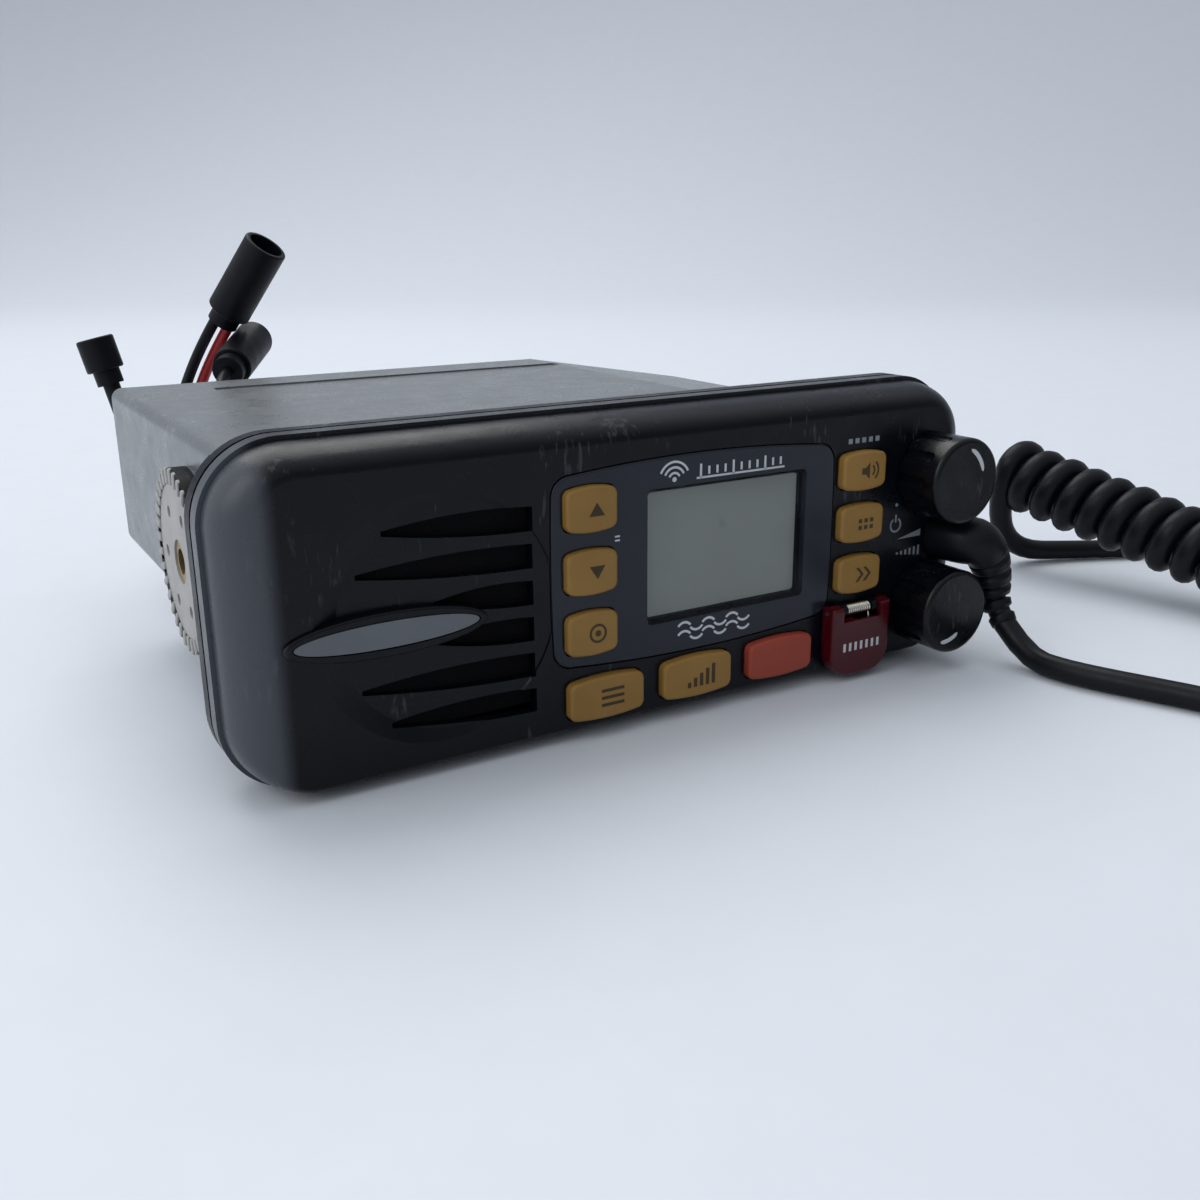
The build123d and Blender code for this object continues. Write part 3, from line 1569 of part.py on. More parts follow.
# ---------------------------------------------------------------- microphone shells
def mic_outline(z, inset):
    """Outline of the microphone: wider at the top end than at the cord end."""
    half_top = mic_width / 2 - inset
    half_foot = mic_foot_width / 2 - inset
    half_length = mic_length / 2 - inset
    with BuildSketch(mic_plane(0, 0, z)) as outline:
        with BuildLine():
            Polyline(
                (-half_top, -half_length),
                (half_top, -half_length),
                (half_foot, half_length),
                (-half_foot, half_length),
                close=True,
            )
        make_face()
        fillet(outline.vertices(), mic_corner - inset)
    return outline.sketch


mic_total = mic_back_depth + mic_front_depth
mic_screw_places = [
    (side_x * (mic_screw_inset_x - end * mic_screw_taper), end * mic_screw_inset_y)
    for side_x in (-1, 1)
    for end in (-1, 1)
]
side_slope = (mic_width - mic_foot_width) / 2 / mic_length
side_x = -mic_width / 2 + side_slope * (mic_length / 2 + talk_bar_y)


def bar_plane(depth, z):
    """Plane at the talk bar, turned with the sloping side: its x points into the shell."""
    plane = mic_plane(side_x + depth, talk_bar_y, z)
    return plane.rotated((0, 0, -math.degrees(math.atan(side_slope))))


with BuildPart() as mic_back_shell:
    extrude(mic_outline(0, 0), amount=mic_back_depth)
    fillet(mic_back_shell.faces().sort_by(Axis.Z)[0].edges(), mic_edge_round)
    extrude(mic_outline(mic_wall, mic_wall), amount=mic_back_depth, mode=Mode.SUBTRACT)
    for x, y in mic_screw_places:
        with BuildSketch(mic_plane(x, y, 0)):
            Circle(mic_post_radius)
        extrude(amount=mic_back_depth)
        with BuildSketch(mic_plane(x, y, 0)):
            Circle(screw_radius + close_fit)
        extrude(amount=mic_back_depth, mode=Mode.SUBTRACT)
        with BuildSketch(mic_plane(x, y, 0)):
            Circle(screw_head_radius + close_fit)
        extrude(amount=screw_head_height + mic_screw_sink, mode=Mode.SUBTRACT)
    with BuildSketch(mic_plane(0, hanger_y, 0)):
        Circle(mic_post_radius)
    extrude(amount=mic_back_depth - hanger_floor)
    with BuildSketch(mic_plane(0, hanger_y, 0)):
        Circle(small_screw_radius + close_fit)
    extrude(amount=hanger_screw_depth, mode=Mode.SUBTRACT)
    with BuildSketch(mic_end_plane(mic_length / 2 - 2 * mic_wall, 0, mic_cord_z)):
        Circle(relief_neck_radius + close_fit)
    extrude(amount=shell_cut_depth, mode=Mode.SUBTRACT)
save(mic_back_shell.part, "mic_back_shell")

with BuildPart() as mic_front_shell:
    extrude(mic_outline(mic_back_depth, 0), amount=mic_front_depth)
    fillet(mic_front_shell.faces().sort_by(Axis.Z)[-1].edges(), mic_edge_round)
    extrude(mic_outline(mic_back_depth, mic_wall), amount=mic_front_depth - mic_wall, mode=Mode.SUBTRACT)
    for number in range(mic_slot_count):
        slot_y = mic_slot_y + (number - (mic_slot_count - 1) / 2) * mic_slot_pitch
        with BuildSketch(mic_plane(0, slot_y, mic_total)):
            SlotOverall(mic_slot_width, mic_slot_height)
        extrude(amount=-2 * mic_wall, mode=Mode.SUBTRACT)
    for x, y in mic_screw_places:
        with BuildSketch(mic_plane(x, y, mic_back_depth)):
            Circle(mic_post_radius)
        extrude(amount=mic_front_depth - mic_wall)
        with BuildSketch(mic_plane(x, y, mic_back_depth)):
            Circle(screw_radius + close_fit)
        extrude(amount=mic_thread_depth, mode=Mode.SUBTRACT)
    # Opening for the talk bar in the left side.
    with BuildSketch(bar_plane(0, talk_bar_z)):
        Rectangle(shell_cut_depth, talk_bar_length + 2 * talk_clearance)
    extrude(amount=talk_bar_height / 2 + talk_clearance, both=True, mode=Mode.SUBTRACT)
save(mic_front_shell.part, "mic_front_shell")

with BuildPart() as mic_talk_bar:
    talk_bar_depth = talk_bar_proud + mic_wall + talk_gap
    with BuildSketch(bar_plane(talk_bar_depth / 2 - talk_bar_proud, talk_bar_z - talk_bar_height / 2)):
        RectangleRounded(talk_bar_depth, talk_bar_length, talk_bar_round)
    extrude(amount=talk_bar_height)
    # Flange behind the opening that keeps the bar in the shell.
    flange_middle = mic_wall + talk_gap + talk_bar_flange / 2
    with BuildSketch(bar_plane(flange_middle, talk_bar_z - talk_bar_height / 2 - talk_bar_lip)):
        Rectangle(talk_bar_flange, talk_bar_length + 2 * talk_bar_overlap)
    extrude(amount=talk_bar_height + 2 * talk_bar_lip)
save(mic_talk_bar.part, "mic_talk_bar")

with BuildPart() as mic_element:
    with BuildSketch(mic_plane(0, mic_slot_y, mic_total - mic_wall - mic_element_gap)):
        Circle(element_radius)
    extrude(amount=-element_depth)
save(mic_element.part, "mic_element")

with BuildPart() as mic_hanger:
    with BuildSketch(mic_plane(0, hanger_y, 0)):
        Circle(hanger_neck_radius)
    extrude(amount=-hanger_neck)
    with BuildSketch(mic_plane(0, hanger_y, -hanger_neck)):
        Circle(hanger_radius)
    extrude(amount=-hanger_head)
    fillet(mic_hanger.faces().sort_by(Axis.Z)[0].edges(), hanger_round)
    with BuildSketch(mic_plane(0, hanger_y, 0)):
        Circle(small_screw_radius)
    extrude(amount=hanger_screw_depth - screw_clearance)
save(mic_hanger.part, "mic_hanger")

with BuildPart() as mic_relief:
    with BuildSketch(relief_root):
        Circle(relief_root_radius)
    with BuildSketch(relief_root.offset(relief_length)):
        Circle(relief_tip_radius)
    loft()
    with BuildSketch(relief_root):
        Circle(relief_neck_radius)
    extrude(amount=-mic_wall - mic_relief_inside)
    for number in range(relief_rib_count):
        place = relief_rib_pitch * (number + 1)
        with BuildSketch(relief_root.offset(place)):
            Circle(relief_root_radius + relief_rib_proud - number * relief_rib_shrink)
        extrude(amount=relief_rib_width)
save(mic_relief.part, "mic_relief")

with BuildPart() as mic_screws:
    head_z = screw_head_height + mic_screw_sink
    for x, y in mic_screw_places:
        with BuildSketch(mic_plane(x, y, head_z)):
            Circle(screw_head_radius)
        extrude(amount=-screw_head_height)
        with BuildSketch(mic_plane(x, y, head_z)):
            Circle(screw_radius)
        extrude(amount=mic_back_depth - head_z + mic_thread_depth - screw_clearance)
        with BuildSketch(mic_plane(x, y, mic_screw_sink)):
            Rectangle(cross_length, cross_width)
            Rectangle(cross_width, cross_length)
        extrude(amount=cross_depth, mode=Mode.SUBTRACT)
save(mic_screws.part, "mic_screws")
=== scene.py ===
# %% [markdown]
# # A fixed-mount marine radio, dressed for the camera
# The CAD frame gives every rigid piece its true size and place: the bezel, the case, the keys, the
# knobs and the microphone. This lesson adds what a CAD model does not hold: cords that curl and lie
# on the table, a wound spring, toothed gimbal rings, printed marks, and a finish for each surface.

# %% Load the frame
import math

import bmesh
import bpy
from mathutils import Euler, Matrix, Vector


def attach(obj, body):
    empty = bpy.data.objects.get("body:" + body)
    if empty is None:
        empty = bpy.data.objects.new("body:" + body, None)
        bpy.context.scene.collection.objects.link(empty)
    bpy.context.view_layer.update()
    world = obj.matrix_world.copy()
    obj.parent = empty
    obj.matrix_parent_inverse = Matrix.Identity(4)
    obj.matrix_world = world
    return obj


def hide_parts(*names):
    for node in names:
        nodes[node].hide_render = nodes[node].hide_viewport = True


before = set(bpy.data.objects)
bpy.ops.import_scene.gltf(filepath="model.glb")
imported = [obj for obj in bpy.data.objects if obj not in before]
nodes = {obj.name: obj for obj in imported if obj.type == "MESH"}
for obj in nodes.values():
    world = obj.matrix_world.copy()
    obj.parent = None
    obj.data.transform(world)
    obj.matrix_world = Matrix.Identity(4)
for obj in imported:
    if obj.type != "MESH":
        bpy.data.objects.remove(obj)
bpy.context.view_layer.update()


def mm(x, y, z):
    """A point given in millimetres, in Blender's metres."""
    return Vector((x, y, z)) * 0.001


def place(name, data):
    """A new object in the scene that shows a mesh, a curve, a light or a camera."""
    piece = bpy.data.objects.new(name, data)
    bpy.context.scene.collection.objects.link(piece)
    return piece


def closed_mesh(mesh, sheet):
    """Turns the normals of a bmesh outwards and writes it to its mesh."""
    bmesh.ops.recalc_face_normals(sheet, faces=sheet.faces)
    sheet.to_mesh(mesh)
    sheet.free()


# %% [markdown]
# ## The camera
# It stands a hand's breadth above the table, a little to the left of the radio, and looks along the
# front panel. A short distance and a wide lens make the left end of the bezel loom large, so the
# place and the lens matter more here than on a distant view.

# %% Place the camera
lens_data = bpy.data.cameras.new("table_camera")
lens_data.sensor_width = 36.0
lens_data.lens = 36.33
lens_data.clip_start = 0.01
camera_place = mm(-128.04, -260.15, 98.41)
camera_turn = Euler((1.26725, 0.00817, -0.53926))
camera = place("table_camera", lens_data)
camera.location = camera_place
camera.rotation_euler = camera_turn
bpy.context.scene.camera = camera
bpy.context.view_layer.update()
print("camera looks along", camera.matrix_world.to_3x3() @ Vector((0, 0, -1)))

# %% [markdown]
# ## Cords
# Every cord is one smooth NURBS line with a round bevel. Its control points are the route that the
# CAD tube takes, so the finished cord lies where its solid lies. The order and the end-point flag
# come after the points, or the line falls back to straight runs.


# %% A cord from its route
def lay_cord(name, route, radius, smoothness=6, thickness=()):
    """One NURBS cord through the air and over the table; the thickness scales it point by point."""
    line = bpy.data.curves.new(name, "CURVE")
    line.dimensions = "3D"
    line.bevel_depth = radius
    line.bevel_resolution = 5
    line.use_fill_caps = True
    spline = line.splines.new("NURBS")
    spline.points.add(len(route) - 1)
    for spot, point in zip(route, spline.points):
        point.co = (*spot, 1.0)
    for scale, point in zip(thickness, spline.points):
        point.radius = scale
    spline.order_u = 3
    spline.use_endpoint_u = True
    spline.resolution_u = smoothness
    return place(name, line)


def walk(route, smoothness=12):
    """The points along a route's own smooth line, read from a curve with no bevel."""
    guide = lay_cord("guide", route, 0.0, smoothness)
    bpy.context.view_layer.update()
    evaluated = guide.evaluated_get(bpy.context.evaluated_depsgraph_get())
    mesh = bpy.data.meshes.new_from_object(evaluated)
    places = [vertex.co.copy() for vertex in mesh.vertices]
    bpy.data.objects.remove(guide)
    bpy.data.meshes.remove(mesh)
    return places


def run_length(places):
    """The length of a line through the places."""
    return sum((after - before).length for before, after in zip(places, places[1:]))


# %% [markdown]
# ### The curly microphone cord
# A fist microphone hangs on a coiled cord. The coil is not a separate piece: the same strand comes
# straight out of the boot, winds into the helix and leaves it as a straight tail. So the helix is
# more control points of the same spline. The turns follow an axis that rests on the table in front
# and rises towards its rear end. The lead runs in along the table and becomes the bottom of the
# first turn, so the helix starts near its lowest place. Wound rubber is a little fatter than the
# straight lead, which closes the gaps between the turns.

# %% Wind the coil on its axis
wound_radius = 0.0032
lead_share = 0.82
coil_route = [
    mm(165.2, -143.6, 10.3),
    mm(164, -111, 10.6),
    mm(160.5, -78, 16),
    mm(158, -57, 20.5),
    mm(151.5, -26, 27.6),
]
coil_axis = walk(coil_route)
axis_length = run_length(coil_axis)
turn_pitch = 0.0071
turn_radius = 0.00675
turn_points = 16
turn_start = -0.62 * math.pi
first_turn_at = 0.002
unwound_share = 0.19
turns = axis_length / turn_pitch
print("coil axis", round(axis_length, 4), "m,", round(turns, 1), "turns")


def on_axis(distance):
    """The place and the direction at a distance along the coil's axis."""
    for before, after in zip(coil_axis, coil_axis[1:]):
        step = (after - before).length
        if distance <= step:
            break
        distance -= step
    heading = (after - before).normalized()
    return before + heading * distance, heading


coil_points = []
for number in range(round((round(turns) - unwound_share) * turn_points)):
    turned = number / turn_points
    centre, heading = on_axis(min(turned * turn_pitch + first_turn_at, axis_length - 1e-5))
    side = heading.cross(Vector((0, 0, 1))).normalized()
    rise = side.cross(heading)
    angle = math.tau * turned + turn_start
    loosened = 0.0003 * max(0.0, turned - turns + 1.8)
    unevenness = 0.00012 * math.sin(2.3 * turned)
    radius = turn_radius + unevenness + loosened
    coil_points.append(centre + side * radius * math.cos(angle) + rise * radius * math.sin(angle))
print("coil points", len(coil_points), "first", coil_points[0] * 1000, "last", coil_points[-1] * 1000)

# %% Join lead, coil and tail in one strand
lead_points = [
    mm(87.5, -80.3, 9),
    mm(87.5, -87.44, 2.8),
    mm(87.6, -97, 2.8),
    mm(91, -107, 2.8),
    mm(98.2, -123.1, 2.8),
    mm(104, -142, 2.8),
    mm(108.5, -164, 2.8),
    mm(128.6, -177.1, 2.8),
    mm(147, -174, 2.9),
    mm(157, -161, 3.2),
    mm(159.8, -150, 3.6),
]
tail_points = [
    mm(147.2, -24.5, 17.5),
    mm(151, -24, 8.8),
    mm(158.5, -25.8, 3.9),
    mm(169, -28.8, 3.1),
    mm(187, -37, 2.8),
    mm(206, -46, 2.8),
    mm(226, -53, 2.8),
    mm(242, -74.6, 4.26),
    mm(242, -90.54, 5.68),
]
strand_points = lead_points + coil_points + tail_points
thickness = [lead_share] * len(lead_points) + [1.0] * len(coil_points) + [lead_share] * len(tail_points)
swelling_points = 8
thinning_points = 4
for step in range(swelling_points):
    thickness[len(lead_points) + step] = lead_share + (1 - lead_share) * step / swelling_points
tail_start = len(lead_points) + len(coil_points)
for step in range(thinning_points):
    thickness[tail_start + step] = 1.0 - (1 - lead_share) * step / thinning_points
mic_cord = lay_cord("mic_cord", strand_points, wound_radius, 3, thickness)
strand_line = walk(strand_points, 3)


def tightest_turn(places):
    """The smallest radius of the circles through three neighbouring places, and where it is."""
    smallest = (1.0, None)
    for before, middle, after in zip(places, places[1:], places[2:]):
        sides = (middle - before).length * (after - middle).length * (after - before).length
        area = (middle - before).cross(after - before).length
        if area > 1e-12:
            smallest = min(smallest, (sides / area / 2, tuple(round(1000 * part, 1) for part in middle)))
    return smallest


print("tightest turn and its place", tightest_turn(strand_line))

# %% [markdown]
# ### The ribbed boot of the microphone cord
# The cord leaves the front through a rubber boot that turns down at once, narrows, and ends in thick
# ribs with narrow gaps. It is a tube whose radius changes along its line, so one loop makes it: a
# ring of points at each place of the line, joined to the ring before it.

# %% Sweep the boot with its ribs
def swept(name, places, radii, sides=28):
    """A closed tube through the places with a radius of its own at each."""
    mesh = bpy.data.meshes.new(name)
    sheet = bmesh.new()
    rings = []
    across = Vector((0, 0, 1))
    for index, (spot, radius) in enumerate(zip(places, radii)):
        heading = (places[min(index + 1, len(places) - 1)] - places[max(index - 1, 0)]).normalized()
        across = (across - heading * across.dot(heading)).normalized()
        other = heading.cross(across)
        rings.append([
            sheet.verts.new(spot + across * radius * math.cos(turn) + other * radius * math.sin(turn))
            for turn in (math.tau * side / sides for side in range(sides))
        ])
    for low, high in zip(rings, rings[1:]):
        for index in range(sides):
            following = (index + 1) % sides
            sheet.faces.new((low[index], low[following], high[following], high[index]))
    sheet.faces.new(rings[0][::-1])
    sheet.faces.new(rings[-1])
    closed_mesh(mesh, sheet)
    mesh.shade_smooth()
    return place(name, mesh)


boot_line = walk([
    mm(77.4, -66.9, 28.8),
    mm(77.8, -73.5, 28.7),
    mm(80.2, -76.8, 28.9),
    mm(83.9, -76.9, 25.2),
    mm(86.6, -76.8, 18.8),
    mm(87.6, -76.4, 13.6),
    mm(87.5, -80.3, 9),
], 16)
boot_length = run_length(boot_line)
boot_radius = 0.0054
taper_start = 0.3
taper = 0.0036
ribs_start = 0.38
ribs_end = 0.97
rib_spacing = 0.11
rib_share = 0.62
gap_depth = 0.0015
core_radius = 0.0025
boot_radii = []
travelled = 0.0
for before, after in zip([boot_line[0]] + boot_line, boot_line):
    travelled += (after - before).length
    share = travelled / boot_length
    body = boot_radius - taper * max(0.0, share - taper_start)
    into_rib = (share - ribs_start) / rib_spacing
    in_gap = ribs_start < share < ribs_end and into_rib % 1.0 > rib_share
    boot_radii.append(max(core_radius, body - gap_depth) if in_gap else body)
cord_boot = swept("cord_boot", boot_line, boot_radii)
print("boot", round(boot_length, 4), "m,", len(cord_boot.data.polygons), "faces")

# %% [markdown]
# ### The leads at the back
# Four leads leave the rear wall: the red and black supply wires and the accessory lead share one
# gland, the antenna's coaxial lead has its own. They are thin and fairly stiff, so they spring up
# from the gland and hold their sockets above the case.

# %% Lay the four rear leads
wire_radius = 0.0016
coax_radius = 0.0023
red_route = [
    mm(-53.9, 51, 27.2),
    mm(-53.9, 77, 27.2),
    mm(-53.1, 103, 26),
    mm(-43.19, 125.29, 50.66),
    mm(-33.47, 114.08, 69.53),
]
black_route = [
    mm(-58.1, 51, 27.2),
    mm(-58.1, 76, 27.2),
    mm(-57.3, 102, 26),
    mm(-46.93, 125.29, 52.59),
    mm(-37.21, 114.08, 71.45),
]
accessory_route = [
    mm(-56, 51, 23.9),
    mm(-56, 67, 23.9),
    mm(-47, 80, 19.5),
    mm(-43, 72, 38),
    mm(-47.6, 83.96, 54.16),
    mm(-39.72, 96.18, 57.83),
]
antenna_route = [
    mm(-72, 51, 39.5),
    mm(-72, 62, 39.5),
    mm(-67.25, 100.32, 40.43),
    mm(-70.53, 102.35, 55.97),
]
rear_leads = {}
for lead_name, route, radius in (
    ("red_lead", red_route, wire_radius),
    ("black_lead", black_route, wire_radius),
    ("accessory_cable", accessory_route, wire_radius),
    ("antenna_cable", antenna_route, coax_radius),
):
    rear_leads[lead_name] = (lay_cord(lead_name, route, radius, 16), run_length(walk(route, 16)), radius)
    print(lead_name, round(rear_leads[lead_name][1], 4), "m")

# %% [markdown]
# ## Finishes
# A finish is a small node tree. Most of this radio is moulded plastic, and what makes plastic look
# real is a fine grain in the surface, a roughness that changes a little from place to place, and a
# colour that is never quite even. One helper builds that, and each material gives it its own
# numbers. The patterns read Object coordinates, so they sit in the real millimetres of the part.


# %% A helper for solid finishes
patch_size = 0.018
wear_size = 0.006


def spread(tree, coordinate, size, detail, low, high, row):
    """A soft pattern of a given size in metres, spread between two values."""
    noise = tree.nodes.new("ShaderNodeTexNoise")
    noise.inputs["Scale"].default_value = 1.0 / size
    noise.inputs["Detail"].default_value = detail
    noise.inputs["Roughness"].default_value = 0.6
    noise.location = (-900, row)
    tree.links.new(coordinate, noise.inputs["Vector"])
    reach = tree.nodes.new("ShaderNodeMapRange")
    reach.inputs["From Min"].default_value = 0.3
    reach.inputs["From Max"].default_value = 0.7
    reach.inputs["To Min"].default_value = low
    reach.inputs["To Max"].default_value = high
    reach.location = (-650, row)
    tree.links.new(noise.outputs["Fac"], reach.inputs["Value"])
    return reach.outputs["Result"]


def tinted(tree, colour, amount, row):
    """A colour made lighter or darker by an amount."""
    shade = tree.nodes.new("ShaderNodeMix")
    shade.data_type = "RGBA"
    shade.blend_type = "MULTIPLY"
    shade.inputs["Factor"].default_value = 1.0
    shade.inputs["A"].default_value = (*colour, 1.0)
    shade.location = (-350, row)
    grey = tree.nodes.new("ShaderNodeCombineColor")
    grey.location = (-500, row - 120)
    for channel in ("Red", "Green", "Blue"):
        tree.links.new(amount, grey.inputs[channel])
    tree.links.new(grey.outputs["Color"], shade.inputs["B"])
    return shade.outputs["Result"]


def finish(
    name,
    colour,
    roughness,
    grain=0.0004,
    depth=0.00002,
    mottle=0.08,
    unevenness=0.06,
    metallic=0.0,
    shine=0.5,
):
    """A moulded, painted or metal surface: its colour, how rough, and the size and depth of its grain."""
    material = bpy.data.materials.new(name)
    material.use_nodes = True
    tree = material.node_tree
    shader = tree.nodes["Principled BSDF"]
    shader.inputs["Metallic"].default_value = metallic
    shader.inputs["Specular IOR Level"].default_value = shine
    coordinates = tree.nodes.new("ShaderNodeTexCoord")
    coordinates.location = (-1150, 0)
    here = coordinates.outputs["Object"]
    patches = spread(tree, here, patch_size, 5.0, 1.0 - mottle, 1.0 + mottle, 250)
    tree.links.new(tinted(tree, colour, patches, 250), shader.inputs["Base Color"])
    smoothest = max(0.02, roughness - unevenness)
    wear = spread(tree, here, wear_size, 4.0, smoothest, roughness + unevenness, 0)
    tree.links.new(wear, shader.inputs["Roughness"])
    grains = spread(tree, here, grain, 2.0, 0.0, 1.0, -250)
    bump = tree.nodes.new("ShaderNodeBump")
    bump.inputs["Strength"].default_value = 1.0
    bump.inputs["Distance"].default_value = depth
    bump.location = (-350, -250)
    tree.links.new(grains, bump.inputs["Height"])
    tree.links.new(bump.outputs["Normal"], shader.inputs["Normal"])
    return material


def shader_of(material):
    """The material's main shader, to set its own sockets."""
    return material.node_tree.nodes["Principled BSDF"]


# %% Mix the finishes of this radio
bezel_plastic = finish("bezel_plastic", (0.002, 0.0028, 0.0055), 0.3, 0.0006, 0.000012, 0.12, 0.06, shine=0.2)
badge_plastic = finish("badge_plastic", (0.1, 0.112, 0.128), 0.24, 0.0005, 0.000006, 0.08, 0.04)
panel_plastic = finish("panel_plastic", (0.0095, 0.013, 0.022), 0.2, 0.0005, 0.000003, 0.1, 0.06, shine=0.3)
case_paint = finish("case_paint", (0.113, 0.123, 0.133), 0.3, 0.0009, 0.00002, 0.07, 0.06)
key_rubber = finish("key_rubber", (0.26, 0.145, 0.035), 0.5, 0.0003, 0.00001, 0.1, 0.06, shine=0.3)
red_key_rubber = finish("red_key_rubber", (0.3, 0.05, 0.03), 0.5, 0.0003, 0.00001, 0.1, 0.06, shine=0.3)
membrane_rubber = finish("membrane_rubber", (0.03, 0.03, 0.032), 0.6, 0.0004, 0.00001, 0.1)
knob_rubber = finish("knob_rubber", (0.0016, 0.002, 0.0036), 0.26, 0.0004, 0.00001, 0.12, 0.08, shine=0.25)
cord_jacket = finish("cord_jacket", (0.004, 0.0045, 0.007), 0.4, 0.0008, 0.00002, 0.15, 0.08, shine=0.17)
socket_rubber = finish("socket_rubber", (0.003, 0.0035, 0.006), 0.45, 0.0007, 0.00002, 0.15, 0.08, shine=0.15)
red_jacket = finish("red_jacket", (0.3, 0.008, 0.012), 0.35, 0.0008, 0.00001, 0.12, 0.06)
gasket_rubber = finish("gasket_rubber", (0.002, 0.002, 0.003), 0.65, 0.0004, 0.00002, 0.1, shine=0.2)
disc_ivory = finish("disc_ivory", (0.31, 0.305, 0.3), 0.5, 0.0005, 0.00002, 0.12, 0.08)
tooth_ivory = finish("tooth_ivory", (0.3, 0.3, 0.295), 0.5, 0.0004, 0.00002, 0.12, 0.08)
brass = finish("brass", (0.3, 0.22, 0.11), 0.4, 0.0004, 0.00001, 0.1, 0.08, 1.0)
tinned_steel = finish("tinned_steel", (0.62, 0.63, 0.64), 0.3, 0.0006, 0.00001, 0.06, 0.08, 1.0)
screw_steel = finish("screw_steel", (0.5, 0.5, 0.51), 0.28, 0.0003, 0.00001, 0.08, 0.08, 1.0)
spring_steel = finish("spring_steel", (0.66, 0.64, 0.58), 0.25, 0.0003, 0.000005, 0.08, 0.08, 1.0)
zinc_steel = finish("zinc_steel", (0.5, 0.52, 0.54), 0.35, 0.0005, 0.00001, 0.08, 0.08, 1.0)
paper = finish("speaker_paper", (0.045, 0.04, 0.035), 0.85, 0.0007, 0.00005, 0.15)
speaker_cloth = finish("speaker_cloth", (0.004, 0.004, 0.005), 0.9, 0.0004, 0.00005, 0.2, shine=0.1)
module_resin = finish("module_resin", (0.02, 0.02, 0.021), 0.45, 0.0005, 0.00001, 0.08)
control_metal = finish("control_metal", (0.4, 0.4, 0.41), 0.35, 0.0005, 0.00001, 0.08, 0.08, 1.0)
mic_plastic = finish("mic_plastic", (0.006, 0.007, 0.01), 0.42, 0.0005, 0.00002, 0.12, shine=0.3)
talk_bar_rubber = finish("talk_bar_rubber", (0.012, 0.013, 0.016), 0.55, 0.0005, 0.00002, 0.12, shine=0.3)
white_ink = finish("white_ink", (0.5, 0.53, 0.56), 0.5, 0.0004, 0.000003, 0.08)
grey_ink = finish("grey_ink", (0.2, 0.22, 0.25), 0.5, 0.0004, 0.000003, 0.15)
key_ink = finish("key_ink", (0.05, 0.035, 0.016), 0.5, 0.0004, 0.000003, 0.15, shine=0.2)
circuit_board = finish("circuit_board", (0.012, 0.075, 0.035), 0.35, 0.0012, 0.00002, 0.3)
cover_red = finish("cover_red", (0.06, 0.002, 0.006), 0.2, 0.0005, 0.000003, 0.1, 0.06, shine=0.35)
shader_of(cover_red).inputs["Alpha"].default_value = 0.93
distress_rubber = finish("distress_rubber", (0.4, 0.02, 0.02), 0.5, 0.0003, 0.00001, 0.1)
print("finishes mixed:", len([m for m in bpy.data.materials if m.use_nodes]))

# %% The display glass and its pane
lcd_glass = finish("lcd_glass", (0.345, 0.38, 0.355), 0.3, 0.0008, 0.000002, 0.03, 0.03)
pane_clear = finish("pane_clear", (0.02, 0.022, 0.026), 0.06, 0.001, 0.000001, 0.05, 0.02)
shader_of(pane_clear).inputs["Alpha"].default_value = 0.14

# %% Give each CAD node its finish
finishes = {
    "front_bezel": bezel_plastic,
    "badge_plate": badge_plastic,
    "display_panel": panel_plastic,
    "display_window": pane_clear,
    "lcd_module": lcd_glass,
    "key_up": key_rubber,
    "key_down": key_rubber,
    "key_select": key_rubber,
    "key_menu": key_rubber,
    "key_power_level": key_rubber,
    "key_calling": red_key_rubber,
    "key_address": key_rubber,
    "key_memory": key_rubber,
    "key_scan": key_rubber,
    "keypad_membrane": membrane_rubber,
    "distress_button": distress_rubber,
    "distress_cover": cover_red,
    "distress_pin": spring_steel,
    "front_board": circuit_board,
    "main_board": circuit_board,
    "board_screws": screw_steel,
    "case_screws": screw_steel,
    "mic_screws": screw_steel,
    "speaker_frame": zinc_steel,
    "speaker_cone": paper,
    "grille_cloth": speaker_cloth,
    "volume_control": control_metal,
    "squelch_control": control_metal,
    "volume_shaft": zinc_steel,
    "squelch_shaft": zinc_steel,
    "control_nuts": zinc_steel,
    "volume_knob": knob_rubber,
    "squelch_knob": knob_rubber,
    "bezel_gasket": gasket_rubber,
    "case": case_paint,
    "gimbal_disc_left": disc_ivory,
    "gimbal_disc_right": disc_ivory,
    "gimbal_inserts": brass,
    "shield_can": tinned_steel,
    "power_module": module_resin,
    "power_gland": socket_rubber,
    "antenna_gland": socket_rubber,
    "power_socket": socket_rubber,
    "accessory_socket": socket_rubber,
    "antenna_socket": socket_rubber,
    "mic_boot": cord_jacket,
    "mic_relief": cord_jacket,
    "mic_back_shell": mic_plastic,
    "mic_front_shell": mic_plastic,
    "mic_talk_bar": talk_bar_rubber,
    "mic_element": zinc_steel,
    "mic_hanger": zinc_steel,
}
for node_name, node_finish in finishes.items():
    for material_slot in nodes[node_name].material_slots:
        material_slot.material = node_finish
print("nodes left with their plain CAD colour:", sorted(set(nodes) - set(finishes)))

# %% [markdown]
# ## Paint that changes along a piece
# The case is one casting, but its front flange and the round bosses at its sides are black. A limit on
# one Object coordinate tells the shader where the second colour starts, to a tenth of a millimetre.

# %% Lay a second colour inside limits
def recolour(material, mask, colour):
    """Mixes a second colour over the first by the mask."""
    tree = material.node_tree
    base = shader_of(material).inputs["Base Color"]
    change = tree.nodes.new("ShaderNodeMix")
    change.data_type = "RGBA"
    change.inputs["B"].default_value = (*colour, 1.0)
    tree.links.new(mask, change.inputs["Factor"])
    tree.links.new(base.links[0].from_socket, change.inputs["A"])
    tree.links.new(change.outputs["Result"], base)


